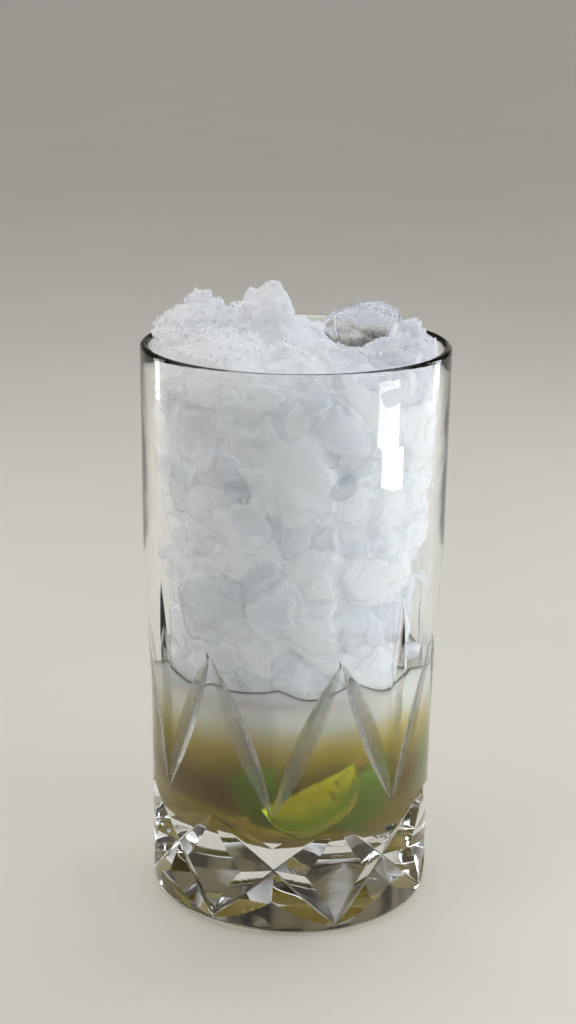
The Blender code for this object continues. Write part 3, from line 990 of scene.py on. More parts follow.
class CAIPIRINHA_OT_limes(bpy.types.Operator):
    """Make the lime wedges sunk in the drink"""
    bl_idname = "caipirinha.limes"
    bl_label = "Lime Wedges"

    def execute(self, context):
        settings = context.scene.caipirinha_drink
        material = lime_material(settings)
        for count, (angle, out, height, share, turns) in enumerate(LIME_PLACES):
            wedge = lime_wedge(material, f"lime_wedge_{count}", share * LIME_HALF_LENGTH,
                               share * LIME_RADIUS, LIME_OPENING)
            turn = Matrix.Identity(4)
            for axis, value in zip("XYZ", turns):
                turn = Matrix.Rotation(value * DEG, 4, axis) @ turn
            spot = Matrix.Translation(round_spot(angle * DEG, out * MM, height * MM))
            wedge.data.transform(spot @ turn @ Matrix.Translation((0.0, 0.0, LIME_MIDDLE)))
            place(wedge, "lime_drink")
        return {"FINISHED"}


# ---------------------------------------------------------------- ice

def ball(subdivisions):
    """Even directions and the triangles that join them."""
    mesh_data = bmesh.new()
    bmesh.ops.create_icosphere(mesh_data, subdivisions=subdivisions, radius=1.0)
    directions = np.array([vertex.co for vertex in mesh_data.verts])
    faces = np.array([[vertex.index for vertex in face.verts] for face in mesh_data.faces])
    mesh_data.free()
    return directions, faces


def turned(rng):
    """Random rotation as a 3 by 3 array."""
    axis = Vector(rng.normal(size=3)).normalized()
    return np.array(Matrix.Rotation(rng.uniform(0.0, math.tau), 3, axis))


def broken_lump(rng, directions, half_sizes, facets, sharpness):
    """Lump with soft-edged flat breaks, centred on the origin."""
    order = np.arange(facets) + 0.5
    lift = 1.0 - 2.0 * order / facets
    turn = GOLDEN_TURN * order
    level = np.sqrt(1.0 - lift ** 2)
    normals = np.stack((level * np.cos(turn), level * np.sin(turn), lift), axis=1)
    normals += rng.normal(scale=0.28, size=normals.shape)
    normals /= np.linalg.norm(normals, axis=1)[:, None]
    normals = normals @ turned(rng).T
    distances = rng.uniform(0.70, 1.0, facets)
    reach = np.maximum(directions @ normals.T, 0.0) / distances
    radius = (reach ** sharpness).sum(axis=1) ** (-1.0 / sharpness)
    return directions * radius[:, None] * half_sizes


def flat_lump(rng, directions, half, middle, thin, facets, sharpness):
    """Randomly turned lump, its two smaller half-sizes drawn from shares of the largest."""
    sizes = half * np.array((1.0, rng.uniform(*middle), rng.uniform(*thin)))
    return broken_lump(rng, directions, sizes, facets, sharpness) @ turned(rng).T


def ice_limit(height):
    """Radius of the wall's inside at a height, and of the mouth above it."""
    return inner_radius(np.minimum(height, GLASS_HEIGHT))


def drawn_in(points, limit, softness):
    """Points brought softly back to a limit on their distance from the axis."""
    radius = np.hypot(points[:, 0], points[:, 1])
    pressed = radius - softness * np.logaddexp(0.0, (radius - limit) / softness)
    points = points.copy()
    points[:, :2] *= (pressed / np.maximum(radius, SMALLEST_RADIUS))[:, None]
    return points


def press_to_wall(points, gap, softness=0.2 * MM):
    """Flatten points against the inside of the glass."""
    return drawn_in(points, ice_limit(points[:, 2]) - gap, softness)


def waves(points, size, seed=0.0):
    """Smooth noise vector at each point."""
    shift = Vector((seed, -seed, 0.5 * seed))
    return np.array([noise.noise_vector(Vector(spot) / size + shift) for spot in points])


def heap_height(x, y):
    """Height of the ice heap's surface over a point of the glass's mouth."""
    height = HEAP_EDGE
    for peak in HEAP_PEAKS:
        peak_x, peak_y, top, width = (MM * number for number in peak)
        distance = math.hypot(x - peak_x, y - peak_y)
        rise = (top - HEAP_EDGE) * math.exp(-0.7 * (distance / width) ** 2)
        height = max(height, HEAP_EDGE + rise)
    return height


def at_wall(angle, height, inset):
    """Point inside the glass at an angle and height, some way in from the wall."""
    return round_spot(angle, float(ice_limit(height)) - inset, height)


def wall_axes(angle, roll):
    """Axes along the wall, up the wall and outwards, rolled in the wall's plane."""
    along = np.array((math.cos(angle), math.sin(angle), 0.0))
    up = np.array((0.0, 0.0, 1.0))
    first = along * math.cos(roll) + up * math.sin(roll)
    second = up * math.cos(roll) - along * math.sin(roll)
    return np.stack((first, second, round_spot(angle, 1.0, 0.0)))


class LumpSet:
    """Many lumps that become one mesh."""

    def __init__(self, subdivisions):
        self.directions, self.triangles = ball(subdivisions)
        self.points = []
        self.faces = []
        self.centres = []
        self.sizes = []

    def add(self, points, size):
        """Add one lump's points, in the ball's own order."""
        self.faces.append(self.triangles + len(self.points) * len(self.directions))
        self.points.append(points)
        self.centres.append(points.mean(axis=0))
        self.sizes.append(size)

    def piece(self, name, material):
        """Join the lumps in one object."""
        faces = np.concatenate(self.faces).tolist()
        return mesh_piece(name, np.concatenate(self.points), faces, material)


def side_gap(angle, height):
    """How far the ice stands off the wall at the two sides, where it has melted away."""
    across = np.sin(angle)
    left, right = (lost * smoothstep((top - height) / fade) for lost, top, fade in SIDE_LOSSES)
    reach = FULL_REACH - np.where(across < 0.0, left, right)
    return np.maximum(0.0, ice_limit(height) - reach / np.maximum(np.abs(across), 0.01))


def keep_off_sides(points):
    """Press points softly back to where the ice has melted away from the wall."""
    gap = side_gap(np.arctan2(points[:, 0], -points[:, 1]), points[:, 2])
    limit = np.where(gap > 0.0, ice_limit(points[:, 2]) - gap + 0.4 * MM, np.inf)
    return drawn_in(points, limit, 0.9 * MM)


def add_wall_lumps(lumps, rng, smallest, largest, rows, per_row, roughness):
    """Pack broken lumps in rows round the inside of the glass."""
    low = DRINK_LEVEL + 1.0 * MM
    high = HEAP_EDGE - 1.0 * MM
    for row in range(rows):
        for column in range(per_row):
            share = (row + rng.uniform(-0.45, 0.45)) / (rows - 1)
            height = max(low, low + (high - low) * share)
            turn = column + 0.5 * (row % 2) + rng.uniform(-0.45, 0.45)
            angle = math.tau * turn / per_row
            half = smallest + (largest - smallest) * rng.uniform(0.0, 1.0) ** 1.6
            height = min(height, high - 0.9 * half)
            points = flat_lump(rng, lumps.directions, half, (0.65, 0.95), (0.5, 0.8),
                               facets=13, sharpness=11.0)
            inset = float(side_gap(angle, height)) + half * rng.uniform(0.05, 0.6)
            points += at_wall(angle, height, inset)
            points = keep_off_sides(points) + waves(points, 5.0 * MM) * roughness
            lumps.add(press_to_wall(points, gap=rng.uniform(0.2, 1.3) * MM), half)


def add_sunk_lumps(lumps, rng, count):
    """Let broken lumps hang from the ice in the drink."""
    for index in range(count):
        radius = 32.0 * MM * math.sqrt((index + 0.5) / count)
        angle = index * GOLDEN_TURN + rng.uniform(-0.3, 0.3)
        half = rng.uniform(4.0, 8.0) * MM
        points = flat_lump(rng, lumps.directions, half, (0.7, 0.95), (0.6, 0.9),
                           facets=13, sharpness=9.0)
        points += round_spot(angle, radius, DRINK_LEVEL + rng.uniform(-1.0, 3.0) * MM)
        points += waves(points, 5.0 * MM) * 0.8 * MM
        lumps.add(press_to_wall(points, gap=0.9 * MM), half)


def add_heap_lumps(lumps, rng, count, smallest, largest):
    """Strew broken lumps over the heap."""
    for index in range(count):
        radius = 34.5 * MM * math.sqrt((index + 0.5) / count)
        angle = index * GOLDEN_TURN + rng.uniform(-0.2, 0.2)
        x, y, _ = round_spot(angle, radius, 0.0)
        half = rng.uniform(smallest, largest)
        points = flat_lump(rng, lumps.directions, half, (0.7, 0.95), (0.5, 0.8),
                           facets=14, sharpness=11.0)
        points += np.array((x, y, heap_height(x, y) - half * 0.75))
        lumps.add(press_to_wall(points, gap=0.3 * MM), half)


# Shaped lumps of the heap: x, y, top, half-width and half-depth in millimetres, and the
# top's share of the foot
HEAP_LUMPS = (
    (-5.6, -4.0, 166.6, 10.2, 9.0, 0.46),
    (-11.5, -1.0, 163.0, 5.0, 5.5, 0.55),
    (-24.5, 0.0, 163.4, 9.0, 9.0, 0.40),
    (-30.0, -4.0, 158.5, 6.0, 8.0, 0.55),
    (-17.5, -6.0, 160.6, 6.5, 7.0, 0.60),
    (-20.0, -19.0, 156.0, 9.5, 9.0, 0.60),
    (-2.0, -20.0, 154.5, 9.5, 9.0, 0.65),
    (13.0, -19.0, 153.0, 9.0, 8.5, 0.60),
    (25.0, -14.0, 152.3, 8.5, 8.0, 0.65),
    (29.0, 2.0, 156.2, 7.0, 9.0, 0.50),
    (-12.0, 20.0, 157.0, 11.0, 10.0, 0.50),
)


def add_shaped_lumps(lumps, rng):
    """Add the heap's tapering lumps."""
    for *sizes, taper in HEAP_LUMPS:
        x, y, top, half_width, half_depth = (MM * number for number in sizes)
        tall = top - HEAP_EDGE + 8.0 * MM
        points = broken_lump(rng, lumps.directions, 1.0, facets=20, sharpness=12.0)
        share = np.clip(0.5 + 0.5 * points[:, 2], 0.0, 1.0)
        narrow = 1.0 + (taper - 1.0) * smoothstep(share)
        points[:, 0] *= half_width * narrow * 1.1
        points[:, 1] *= half_depth * narrow * 1.1
        points[:, 2] *= 0.5 * tall
        points[:, :2] += np.array((x, y))
        points += waves(points, 7.0 * MM) * 0.8 * MM
        points[:, 2] += top - points[:, 2].max()
        lumps.add(press_to_wall(points, gap=0.3 * MM), half_width)


def melted_together(name, objects, voxel):
    """One closed mesh of all the objects, melted at their joints; the objects go."""
    mesh_data = bmesh.new()
    for obj in objects:
        mesh_data.from_mesh(obj.data)
    joined = piece_from_bmesh("joined", mesh_data, objects[0].data.materials[0])
    remesh = joined.modifiers.new("melt", "REMESH")
    remesh.mode = "VOXEL"
    remesh.voxel_size = voxel
    obj = evaluated_piece(name, joined)
    remove_objects(joined, *objects)
    return obj


def keep_above(obj, height):
    """Cut a closed mesh off under a height and close the cut."""
    mesh_data = bmesh.new()
    mesh_data.from_mesh(obj.data)
    geometry = mesh_data.verts[:] + mesh_data.edges[:] + mesh_data.faces[:]
    cut = bmesh.ops.bisect_plane(mesh_data, geom=geometry, plane_co=(0.0, 0.0, height),
                                 plane_no=(0.0, 0.0, -1.0), clear_outer=True)
    edges = [part for part in cut["geom_cut"] if isinstance(part, bmesh.types.BMEdge)]
    bmesh.ops.holes_fill(mesh_data, edges=edges)
    mesh_data.to_mesh(obj.data)
    mesh_data.free()


def vertex_array(values, name):
    """Vectors of a mesh's vertices as an array."""
    array = np.empty(len(values) * 3)
    values.foreach_get(name, array)
    return array.reshape(-1, 3)


def mesh_points(mesh):
    """Vertex places of a mesh as an array."""
    return vertex_array(mesh.vertices, "co")


def nearest_lump(points, lumps):
    """Index of the lump that each point belongs to."""
    centres = np.array(lumps.centres)
    sizes = np.array(lumps.sizes)
    owner = np.empty(len(points), dtype=int)
    for start in range(0, len(points), POINTS_AT_ONCE):
        some = slice(start, start + POINTS_AT_ONCE)
        distance = np.linalg.norm(points[some, None, :] - centres[None], axis=2) / sizes
        owner[some] = distance.argmin(axis=1)
    return owner


def store_values(mesh, name, values):
    """Store a number for each vertex."""
    mesh.attributes.new(name, "FLOAT", "POINT").data.foreach_set("value", values)


def painted_side_light(points):
    """Painted light on the ice by its place: brighter to the right, the key light's side, and
    towards the top.
    """
    across = points[:, 0] / RIM_RADIUS
    up = (points[:, 2] - DRINK_LEVEL) / (HEAP_EDGE - DRINK_LEVEL)
    return 0.16 + 0.14 * across + 0.50 * np.clip(up, 0.0, 1.0)


def ice_core_mesh(name, material, inset, sink, wave):
    """Closed turned lump under the wall and the heap, roughened."""
    around, side_steps, top_steps = 150, 70, 40
    bottom = DRINK_LEVEL - CORE_DIP
    side_top = HEAP_EDGE - CORE_SHOULDER
    points = []
    for step in range(side_steps + top_steps):
        for segment in range(around):
            angle = math.tau * segment / around
            height = bottom + (side_top - bottom) * min(1.0, step / side_steps)
            out = float(ice_limit(height)) - inset - float(side_gap(angle, height))
            out *= min(1.0, 1.0 - (step - side_steps) / top_steps)
            point = round_spot(angle, out, height)
            if step > side_steps:
                point[2] = heap_height(point[0], point[1]) - sink
            points.append(point)
    points = np.array(points)
    middle = np.zeros_like(points)
    middle[:, 2] = np.minimum(points[:, 2], CORE_MIDDLE_TOP)
    outward = points - middle
    outward /= np.linalg.norm(outward, axis=1)[:, None]
    push = waves(points, 6.0 * MM)[:, :1] * wave + waves(points, 2.2 * MM)[:, :1] * 0.35 * wave
    points += outward * push
    faces = []
    for step in range(side_steps + top_steps - 1):
        for segment in range(around):
            following = (segment + 1) % around
            low = step * around
            faces.append((low + segment, low + following, low + around + following,
                          low + around + segment))
    faces.append(tuple(range(around))[::-1])
    last = (side_steps + top_steps - 1) * around
    faces.append(tuple(range(last, last + around)))
    return mesh_piece(name, points, faces, material)


class CAIPIRINHA_OT_ice_core(bpy.types.Operator):
    """Make the close-packed ice in the middle"""
    bl_idname = "caipirinha.ice_core"
    bl_label = "Ice Core"

    def execute(self, context):
        settings = context.scene.caipirinha_ice
        material = ice_material("packed_snow", settings.snow, settings.snow_shade, PACKED_LOOK,
                                0.7)
        core = ice_core_mesh("ice_core", material, inset=3.3 * MM, sink=4.0 * MM, wave=1.6 * MM)
        store_values(core.data, "tone_and_painted_light", painted_side_light(mesh_points(core.data)))
        place(core, "crushed_ice", "ice")
        return {"FINISHED"}


def heap_painted_shade(points):
    """Tone of the heap by its place, with painted shade: greyer to the right, against the key light
    there.
    """
    return 0.45 - 1.0 * points[:, 0] / RIM_RADIUS


def roughened(obj, lumps, rng, steps, painted_light_by_place):
    """Give a melted mass its fine relief, each old lump in it a tone of its own, and painted light
    by its place.
    """
    points = mesh_points(obj.data)
    normals = vertex_array(obj.data.vertex_normals, "vector")
    tones_with_painted_light = TONE_SPREAD * rng.uniform(-1.0, 1.0, len(lumps.centres))[nearest_lump(points, lumps)]
    tones_with_painted_light += painted_light_by_place(points)
    fine = sum(waves(points, size, size / MM)[:, :1] * amount for size, amount in steps)
    points = press_to_wall(points + normals * fine, gap=0.12 * MM, softness=0.08 * MM)
    obj.data.vertices.foreach_set("co", points.ravel())
    store_values(obj.data, "tone_and_painted_light", tones_with_painted_light)
    obj.data.shade_smooth()
    obj.data.update()


class CAIPIRINHA_OT_slush(bpy.types.Operator):
    """Make the crushed ice in the glass, melted together"""
    bl_idname = "caipirinha.slush"
    bl_label = "Melted Ice"

    def execute(self, context):
        settings = context.scene.caipirinha_ice
        rng = np.random.default_rng(ICE_SEED)
        material = ice_material("wet_ice", settings.wet, settings.shade, WET_LOOK)
        lumps = LumpSet(subdivisions=3)
        add_cloudy_pieces(lumps, rng)
        add_wall_lumps(lumps, rng, settings.smallest, settings.largest, rows=10, per_row=17,
                       roughness=1.2 * MM)
        add_sunk_lumps(lumps, rng, count=42)
        packed = lumps.piece("packed", material)
        middle = ice_core_mesh("middle", material, inset=1.9 * MM, sink=3.0 * MM, wave=1.1 * MM)
        slush = melted_together("melted_ice", [packed, middle], SLUSH_VOXEL)
        roughened(slush, lumps, rng, SLUSH_RELIEF, painted_side_light)
        place(slush, "crushed_ice", "ice")
        return {"FINISHED"}


class CAIPIRINHA_OT_heap(bpy.types.Operator):
    """Make the heap of ice above the rim"""
    bl_idname = "caipirinha.heap"
    bl_label = "Heap"

    def execute(self, context):
        settings = context.scene.caipirinha_ice
        rng = np.random.default_rng(ICE_SEED + 1)
        material = ice_material("heap_ice", settings.heap, settings.shade, HEAP_LOOK)
        lumps = LumpSet(subdivisions=3)
        add_heap_lumps(lumps, rng, count=170, smallest=1.8 * MM, largest=3.8 * MM)
        add_shaped_lumps(lumps, rng)
        strewn = lumps.piece("strewn", material)
        middle = ice_core_mesh("middle", material, inset=1.0 * MM, sink=0.9 * MM, wave=0.8 * MM)
        heap = melted_together("heaped_ice", [strewn, middle], HEAP_VOXEL)
        keep_above(heap, HEAP_FOOT)
        roughened(heap, lumps, rng, HEAP_RELIEF, heap_painted_shade)
        place(heap, "crushed_ice", "ice")
        return {"FINISHED"}


# Half-sizes and place of the clear slab in the heap, in millimetres
SLAB_SIZES = (12.0, 5.0, 7.8)
SLAB_PLACE = (17.8, 1.0, 153.8)
# Each cloudy piece pressed to the glass: angle, height, half-width, half-height and roll, in
# degrees and millimetres
CLOUDY_PIECES = (
    (-23.2, 138.0, 4.4, 5.2, 10.0),
    (-46.0, 131.5, 5.2, 6.0, 0.0),
    (-36.4, 112.9, 6.6, 3.2, -14.0),
    (-9.9, 120.0, 4.2, 6.4, -20.0),
    (5.9, 110.0, 7.4, 11.5, 8.0),
    (45.0, 115.0, 9.5, 6.6, 12.0),
    (12.1, 81.0, 6.8, 6.0, 0.0),
    (9.9, 95.5, 3.4, 3.8, 0.0),
    (-6.0, 91.0, 8.0, 10.0, 5.0),
    (31.0, 99.0, 7.5, 9.0, -5.0),
    (27.0, 78.0, 8.0, 8.5, 10.0),
    (-8.0, 138.0, 8.5, 7.0, 10.0),
    (27.0, 136.0, 9.5, 9.0, -10.0),
    (10.0, 138.5, 7.0, 6.5, 25.0),
    (-30.0, 124.5, 6.5, 4.5, 15.0),
    (-18.0, 103.0, 7.5, 5.5, -20.0),
    (24.0, 117.5, 6.0, 6.5, 30.0),
)
# Loose bits stuck to the glass at its sides, in the same way
LOOSE_BITS = (
    (-60.0, 139.0, 1.7, 3.6, 8.0),
    (-64.0, 131.0, 1.9, 2.6, -20.0),
    (-74.0, 131.5, 2.2, 4.8, 10.0),
    (-58.0, 112.0, 2.0, 2.6, 40.0),
    (62.0, 126.0, 1.2, 2.6, 5.0),
    (68.0, 137.0, 1.3, 2.2, -10.0),
    (58.0, 104.0, 1.8, 3.0, 20.0),
    (-66.0, 98.0, 1.5, 2.4, -30.0),
    (66.0, 92.0, 1.4, 2.0, 10.0),
)
# Each clear piece pressed to the glass, in the same way, with its thickness
CLEAR_PIECES = (
    (-50.2, 118.3, 2.9, 5.8, 5.0, 3.0),
    (-22.2, 119.7, 3.0, 2.3, -10.0, 2.0),
    (13.7, 128.6, 1.8, 1.6, 0.0, 1.5),
    (-34.9, 87.0, 8.0, 9.4, -12.0, 5.0),
    (-3.0, 74.0, 3.6, 3.2, 20.0, 2.5),
    (19.0, 121.0, 3.4, 2.6, 30.0, 2.0),
)


def wall_piece(rng, directions, row, thick, sharpness):
    """One broken piece of a table's row, lying against the glass, in degrees and millimetres."""
    angle, height, half_width, half_height, roll = row
    sizes = np.array((half_width, half_height, thick)) * MM * 1.15
    points = broken_lump(rng, directions, sizes, facets=12, sharpness=sharpness)
    points = points @ wall_axes(angle * DEG, roll * DEG)
    points += at_wall(angle * DEG, height * MM, 0.45 * thick * MM)
    return points + waves(points, 4.5 * MM) * 0.6 * MM


def add_cloudy_pieces(lumps, rng):
    """Add the bigger cloudy pieces pressed to the glass, and the loose bits at its sides."""
    for row in CLOUDY_PIECES:
        half_width, half_height = row[2:4]
        thick = min(0.8 * min(half_width, half_height), 5.0)
        points = wall_piece(rng, lumps.directions, row, thick, sharpness=13.0)
        pressed = press_to_wall(points, gap=0.1 * MM, softness=0.05 * MM)
        lumps.add(pressed, 0.8 * half_width * MM)
    for row in LOOSE_BITS:
        points = wall_piece(rng, lumps.directions, row, thick=1.6, sharpness=8.0)
        pressed = press_to_wall(points, gap=0.1 * MM, softness=0.05 * MM)
        lumps.add(pressed, row[2] * MM)


class CAIPIRINHA_OT_clear_pieces(bpy.types.Operator):
    """Make the clear pieces of ice pressed to the glass and in the heap"""
    bl_idname = "caipirinha.clear_pieces"
    bl_label = "Clear Ice"

    def execute(self, context):
        settings = context.scene.caipirinha_ice
        rng = np.random.default_rng(ICE_SEED + 2)
        clear = ice_material("clear_ice", settings.clear, settings.clear, CLEAR_LOOK, 0.97)
        pieces = LumpSet(subdivisions=4)
        for *row, thick in CLEAR_PIECES:
            points = wall_piece(rng, pieces.directions, row, thick, sharpness=9.0)
            pressed = press_to_wall(points, gap=0.06 * MM, softness=0.04 * MM)
            pieces.add(pressed, row[2] * MM)
        slab = LumpSet(subdivisions=5)
        points = broken_lump(rng, slab.directions, np.array(SLAB_SIZES) * MM,
                             facets=22, sharpness=16.0)
        points += waves(points, 6.0 * MM) * 1.0 * MM + waves(points, 2.4 * MM) * 0.5 * MM
        points += np.array(SLAB_PLACE) * MM
        slab.add(press_to_wall(points, gap=0.2 * MM, softness=0.1 * MM), 10.0 * MM)
        for name, lumps in (("clear_pieces", pieces), ("clear_slab", slab)):
            piece = lumps.piece(name, clear)
            store_values(piece.data, "tone_and_painted_light", np.full(len(piece.data.vertices), 0.5))
            place(piece, "crushed_ice", "ice")
        return {"FINISHED"}


# Loose grains: how many to the square metre at most, half-sizes, and shares of those three ways
WHITE_DENSITY = 240000.0
CLEAR_DENSITY = 16000.0
SMALLEST_GRAIN = 0.25 * MM
LARGEST_GRAIN = 1.05 * MM
GRAIN_SHAPE = (1.0, 0.8, 0.65)


def scatter_tree():
    """Geometry nodes that strew turned, uneven grains over a surface."""
    inputs = {"Geometry": "Geometry", "Grain": "Object", "Density": "Float", "Smallest": "Float",
              "Largest": "Float", "Seed": "Int", "Finish": "Material"}
    tree, source, result = new_group("Strewn Grains", "GeometryNodeTree", inputs,
                                     {"Geometry": "Geometry"})
    given = source.outputs
    mask = add_node(tree, "GeometryNodeInputNamedAttribute", {"Name": "frost"}, data_type="FLOAT")
    density = math_node(tree, "MULTIPLY", given["Density"], mask.outputs["Attribute"])
    points = add_node(tree, "GeometryNodeDistributePointsOnFaces", {
        "Mesh": given["Geometry"], "Density": density, "Seed": given["Seed"]})
    grain = add_node(tree, "GeometryNodeObjectInfo", {"Object": given["Grain"]})
    turn = add_node(tree, "FunctionNodeRandomValue", {"Max": (math.tau,) * 3},
                    data_type="FLOAT_VECTOR")
    low, high = (add_node(tree, "ShaderNodeCombineXYZ", dict.fromkeys("XYZ", given[limit]))
                 for limit in ("Smallest", "Largest"))
    size = add_node(tree, "FunctionNodeRandomValue", {
        "Min": low.outputs[0], "Max": high.outputs[0], "Seed": given["Seed"]},
        data_type="FLOAT_VECTOR")
    copies = add_node(tree, "GeometryNodeInstanceOnPoints", {
        "Points": points.outputs["Points"], "Instance": grain.outputs["Geometry"],
        "Rotation": turn.outputs["Value"], "Scale": size.outputs["Value"]})
    finish_tree(tree, copies.outputs[0], given["Finish"], result)
    return tree


def frost_shares(points):
    """How thickly grains lie at each point: most at the left, hardly any on the tall peak."""
    lift = smoothstep((points[:, 2] - HEAP_EDGE) / (3.0 * MM))
    patches = smoothstep(0.5 + 1.6 * waves(points, 11.0 * MM, 7.0)[:, 1])
    left = smoothstep((-6.0 * MM - points[:, 0]) / (8.0 * MM))
    peak = np.hypot(points[:, 0] + 4.5 * MM, points[:, 1] + 4.0 * MM)
    bare_peak = 1.0 - 0.9 * smoothstep((13.0 * MM - peak) / (4.0 * MM))
    return lift * bare_peak * np.clip(0.10 + 0.5 * patches + 0.6 * left, 0.0, 1.0)


class CAIPIRINHA_OT_grains(bpy.types.Operator):
    """Make the loose grains of ice on the heap"""
    bl_idname = "caipirinha.grains"
    bl_label = "Ice Grains"

    def execute(self, context):
        settings = context.scene.caipirinha_ice
        rng = np.random.default_rng(ICE_SEED + 3)
        white = ice_material("white_grains", settings.heap, settings.heap, GRAIN_LOOK)
        clear = ice_material("clear_grains", settings.clear, settings.clear, GLASSY_GRAIN_LOOK,
                             0.97)
        heap = bpy.data.objects["heaped_ice"]
        bare = heap.copy()
        bare.data = heap.data.copy()
        bpy.context.scene.collection.objects.link(bare)
        store_values(bare.data, "frost", frost_shares(mesh_points(heap.data)))
        tree = scatter_tree()
        for seed, name, material, density in ((5, "white_grains", white, WHITE_DENSITY),
                                              (6, "clear_grains", clear, CLEAR_DENSITY)):
            lumps = LumpSet(subdivisions=2)
            points = broken_lump(rng, lumps.directions, np.array(GRAIN_SHAPE),
                                 facets=9, sharpness=9.0)
            lumps.add(points, 1.0)
            grain = lumps.piece("grain", material)
            values = {"Grain": grain, "Density": density, "Smallest": SMALLEST_GRAIN,
                      "Largest": LARGEST_GRAIN, "Seed": seed, "Finish": material}
            grains = baked_object(name, bare, values, tree)
            store_values(grains.data, "tone_and_painted_light", np.ones(len(grains.data.vertices)))
            grains.data.shade_smooth()
            remove_objects(grain)
            place(grains, "crushed_ice", "ice")
        remove_objects(bare)
        return {"FINISHED"}


# ---------------------------------------------------------------- stage

def softbox(name, spot, aim, size, watts, tint):
    """Area light aimed at a point and unseen by the camera itself."""
    light = bpy.data.lights.new(name, "AREA")
    light.shape = "RECTANGLE"
    light.size, light.size_y = size
    light.energy = watts
    light.color = tint
    obj = object_of(name, light)
    obj.location = spot
    obj.rotation_euler = (Vector(aim) - Vector(spot)).to_track_quat("-Z", "Y").to_euler()
    obj.visible_camera = False


def room_world(settings):
    """Room light, warmer and dimmer towards the horizon, with paler walls between openings."""
    world = bpy.data.worlds.new("room")
    world.use_nodes = True
    tree = world.node_tree
    direction = tree.nodes.new("ShaderNodeTexCoord").outputs["Generated"]
    parts = parts_of(tree, direction)
    things = noise_node(tree, 2.2, 1.0, direction)
    wobble = math_node(tree, "ADD", things, -0.5)
    level = math_node(tree, "MULTIPLY_ADD", wobble, 0.7, parts["Z"])
    walls = ramp_node(tree, level, (
        (0.0, settings.haze), (0.10, settings.haze), (0.26, settings.horizon),
        (0.58, settings.horizon), (0.80, settings.room)))
    level_way = add_node(tree, "ShaderNodeCombineXYZ", {"X": parts["X"], "Y": parts["Y"]})
    curtains = noise_node(tree, 4.5, 1.0, level_way.outputs[0])
    light_share = math_node(tree, "MAXIMUM", map_node(tree, curtains, 0.42, 0.56, 0.12),
                            map_node(tree, parts["Z"], 0.50, 0.72))
    aside = math_node(tree, "ABSOLUTE", parts["X"])
    side_share = map_node(tree, aside, 0.55, 0.90, 0.0, 0.5)
    lighter = mix_node(tree, side_share, walls, settings.haze)
    dimmed = add_node(tree, "ShaderNodeVectorMath", {0: lighter, "Scale": light_share},
                      operation="SCALE")
    connect(tree, dimmed.outputs[0], tree.nodes["Background"].inputs["Color"])
    return world


def add_lamps(settings):
    """Light the part from both sides and above, with a low window for the streak."""
    lamps = (
        ("side_window", (0.70, -0.42, 0.45), LAMP_AIM, (0.5, 0.8), settings.key_power,
         (0.79, 0.89, 1.0)),
        ("low_window", (0.200, -0.072, 0.0740), STREAK_AIM, (0.068, 0.0143), 0.064,
         (1.0, 0.96, 0.88)),
        ("left_fill", (-0.75, -0.35, 0.5), LAMP_AIM, (0.6, 0.6), settings.fill_power,
         (1.0, 0.97, 0.94)),
        ("top_light", (0.1, 0.35, 0.95), LAMP_AIM, (0.7, 0.5), settings.top_power,
         (0.96, 0.98, 1.0)),
        ("right_strip", (0.50, 0.32, 0.20), LAMP_AIM, (0.10, 0.55), 0.9, (0.85, 0.92, 1.0)),
        ("left_strip", (-0.50, 0.26, 0.20), LAMP_AIM, (0.08, 0.50), 0.5, (1.0, 0.98, 0.95)),
    )
    for lamp in lamps:
        softbox(*lamp)


def add_camera(scene):
    """Aim the scene's camera."""
    camera = bpy.data.cameras.new("camera")
    camera.sensor_fit = "AUTO"
    camera.sensor_width = SENSOR_WIDTH
    camera.lens = FOCAL_PIXELS * SENSOR_WIDTH / IMAGE_LONG_SIDE
    camera.shift_x = -AXIS_PIXELS / IMAGE_LONG_SIDE
    scene.camera = object_of("camera", camera)
    pitch = Matrix.Rotation(math.pi / 2 - CAMERA_PITCH, 4, "X")
    roll = Matrix.Rotation(CAMERA_ROLL, 4, "Z")
    spot = Matrix.Translation((0.0, -CAMERA_DISTANCE, CAMERA_HEIGHT))
    scene.camera.matrix_world = spot @ (pitch @ roll)


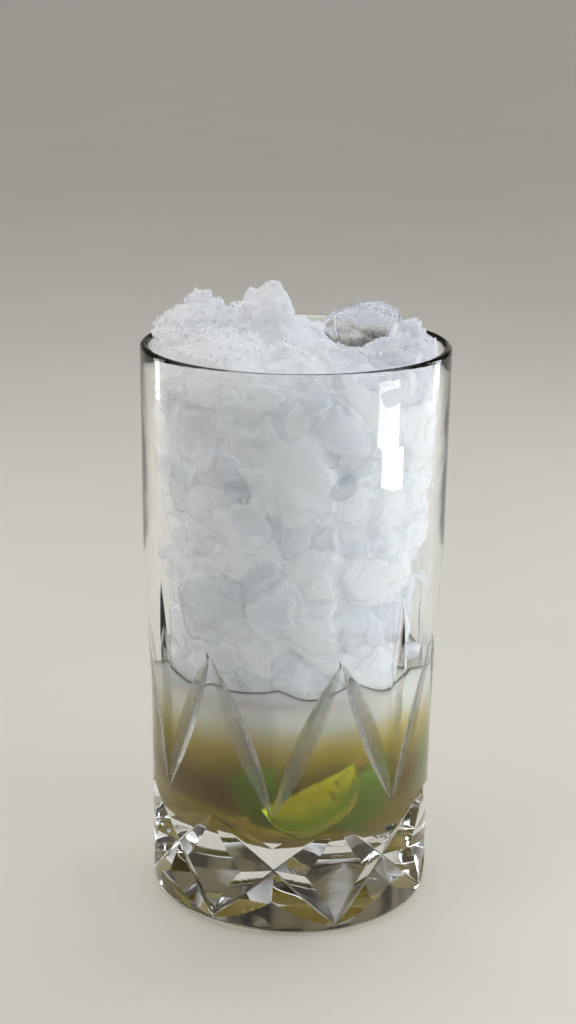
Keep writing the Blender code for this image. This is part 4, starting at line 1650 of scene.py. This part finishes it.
class CAIPIRINHA_OT_stage(bpy.types.Operator):
    """Make the floor, the lights and the camera"""
    bl_idname = "caipirinha.stage"
    bl_label = "Stage"

    def execute(self, context):
        settings = context.scene.caipirinha_stage
        scene = context.scene
        floor_mesh = bmesh.new()
        bmesh.ops.create_circle(floor_mesh, cap_ends=True, segments=96, radius=FLOOR_SIZE)
        for vertex in floor_mesh.verts:
            vertex.co.z = -FLOOR_GAP
        floor = piece_from_bmesh("floor", floor_mesh, floor_material(settings))
        add_lamps(settings)
        add_camera(scene)
        scene.world = room_world(settings)
        scene.view_settings.view_transform = "Standard"
        for name, value in CYCLES.items():
            setattr(scene.cycles, name, value)
        return {"FINISHED"}


class CAIPIRINHA_PT_panel(bpy.types.Panel):
    """Lists the caipirinha's makers"""
    bl_label = "Caipirinha"
    bl_idname = "CAIPIRINHA_PT_panel"
    bl_space_type = "VIEW_3D"
    bl_region_type = "UI"
    bl_category = "Caipirinha"

    def draw(self, context):
        for operator in OPERATORS:
            self.layout.operator(operator.bl_idname)


SETTINGS = {
    "caipirinha_crystal": CrystalSettings,
    "caipirinha_drink": DrinkSettings,
    "caipirinha_ice": IceSettings,
    "caipirinha_stage": StageSettings,
}
OPERATORS = (
    CAIPIRINHA_OT_crystal,
    CAIPIRINHA_OT_drink,
    CAIPIRINHA_OT_limes,
    CAIPIRINHA_OT_ice_core,
    CAIPIRINHA_OT_slush,
    CAIPIRINHA_OT_heap,
    CAIPIRINHA_OT_clear_pieces,
    CAIPIRINHA_OT_grains,
    CAIPIRINHA_OT_stage,
)


def register():
    """Register the classes and hang the settings on the scene."""
    for item in (*SETTINGS.values(), *OPERATORS, CAIPIRINHA_PT_panel):
        bpy.utils.register_class(item)
    for name, group in SETTINGS.items():
        setattr(bpy.types.Scene, name, bpy.props.PointerProperty(type=group))


def unregister():
    """Take the settings and classes away."""
    for name in SETTINGS:
        delattr(bpy.types.Scene, name)
    for item in (CAIPIRINHA_PT_panel, *reversed(OPERATORS), *SETTINGS.values()):
        bpy.utils.unregister_class(item)


def main():
    """Make every piece."""
    noise.seed_set(NOISE_SEED)
    register()
    for operator in OPERATORS:
        group, name = operator.bl_idname.split(".")
        getattr(getattr(bpy.ops, group), name)()


if __name__ == "__main__":
    main()
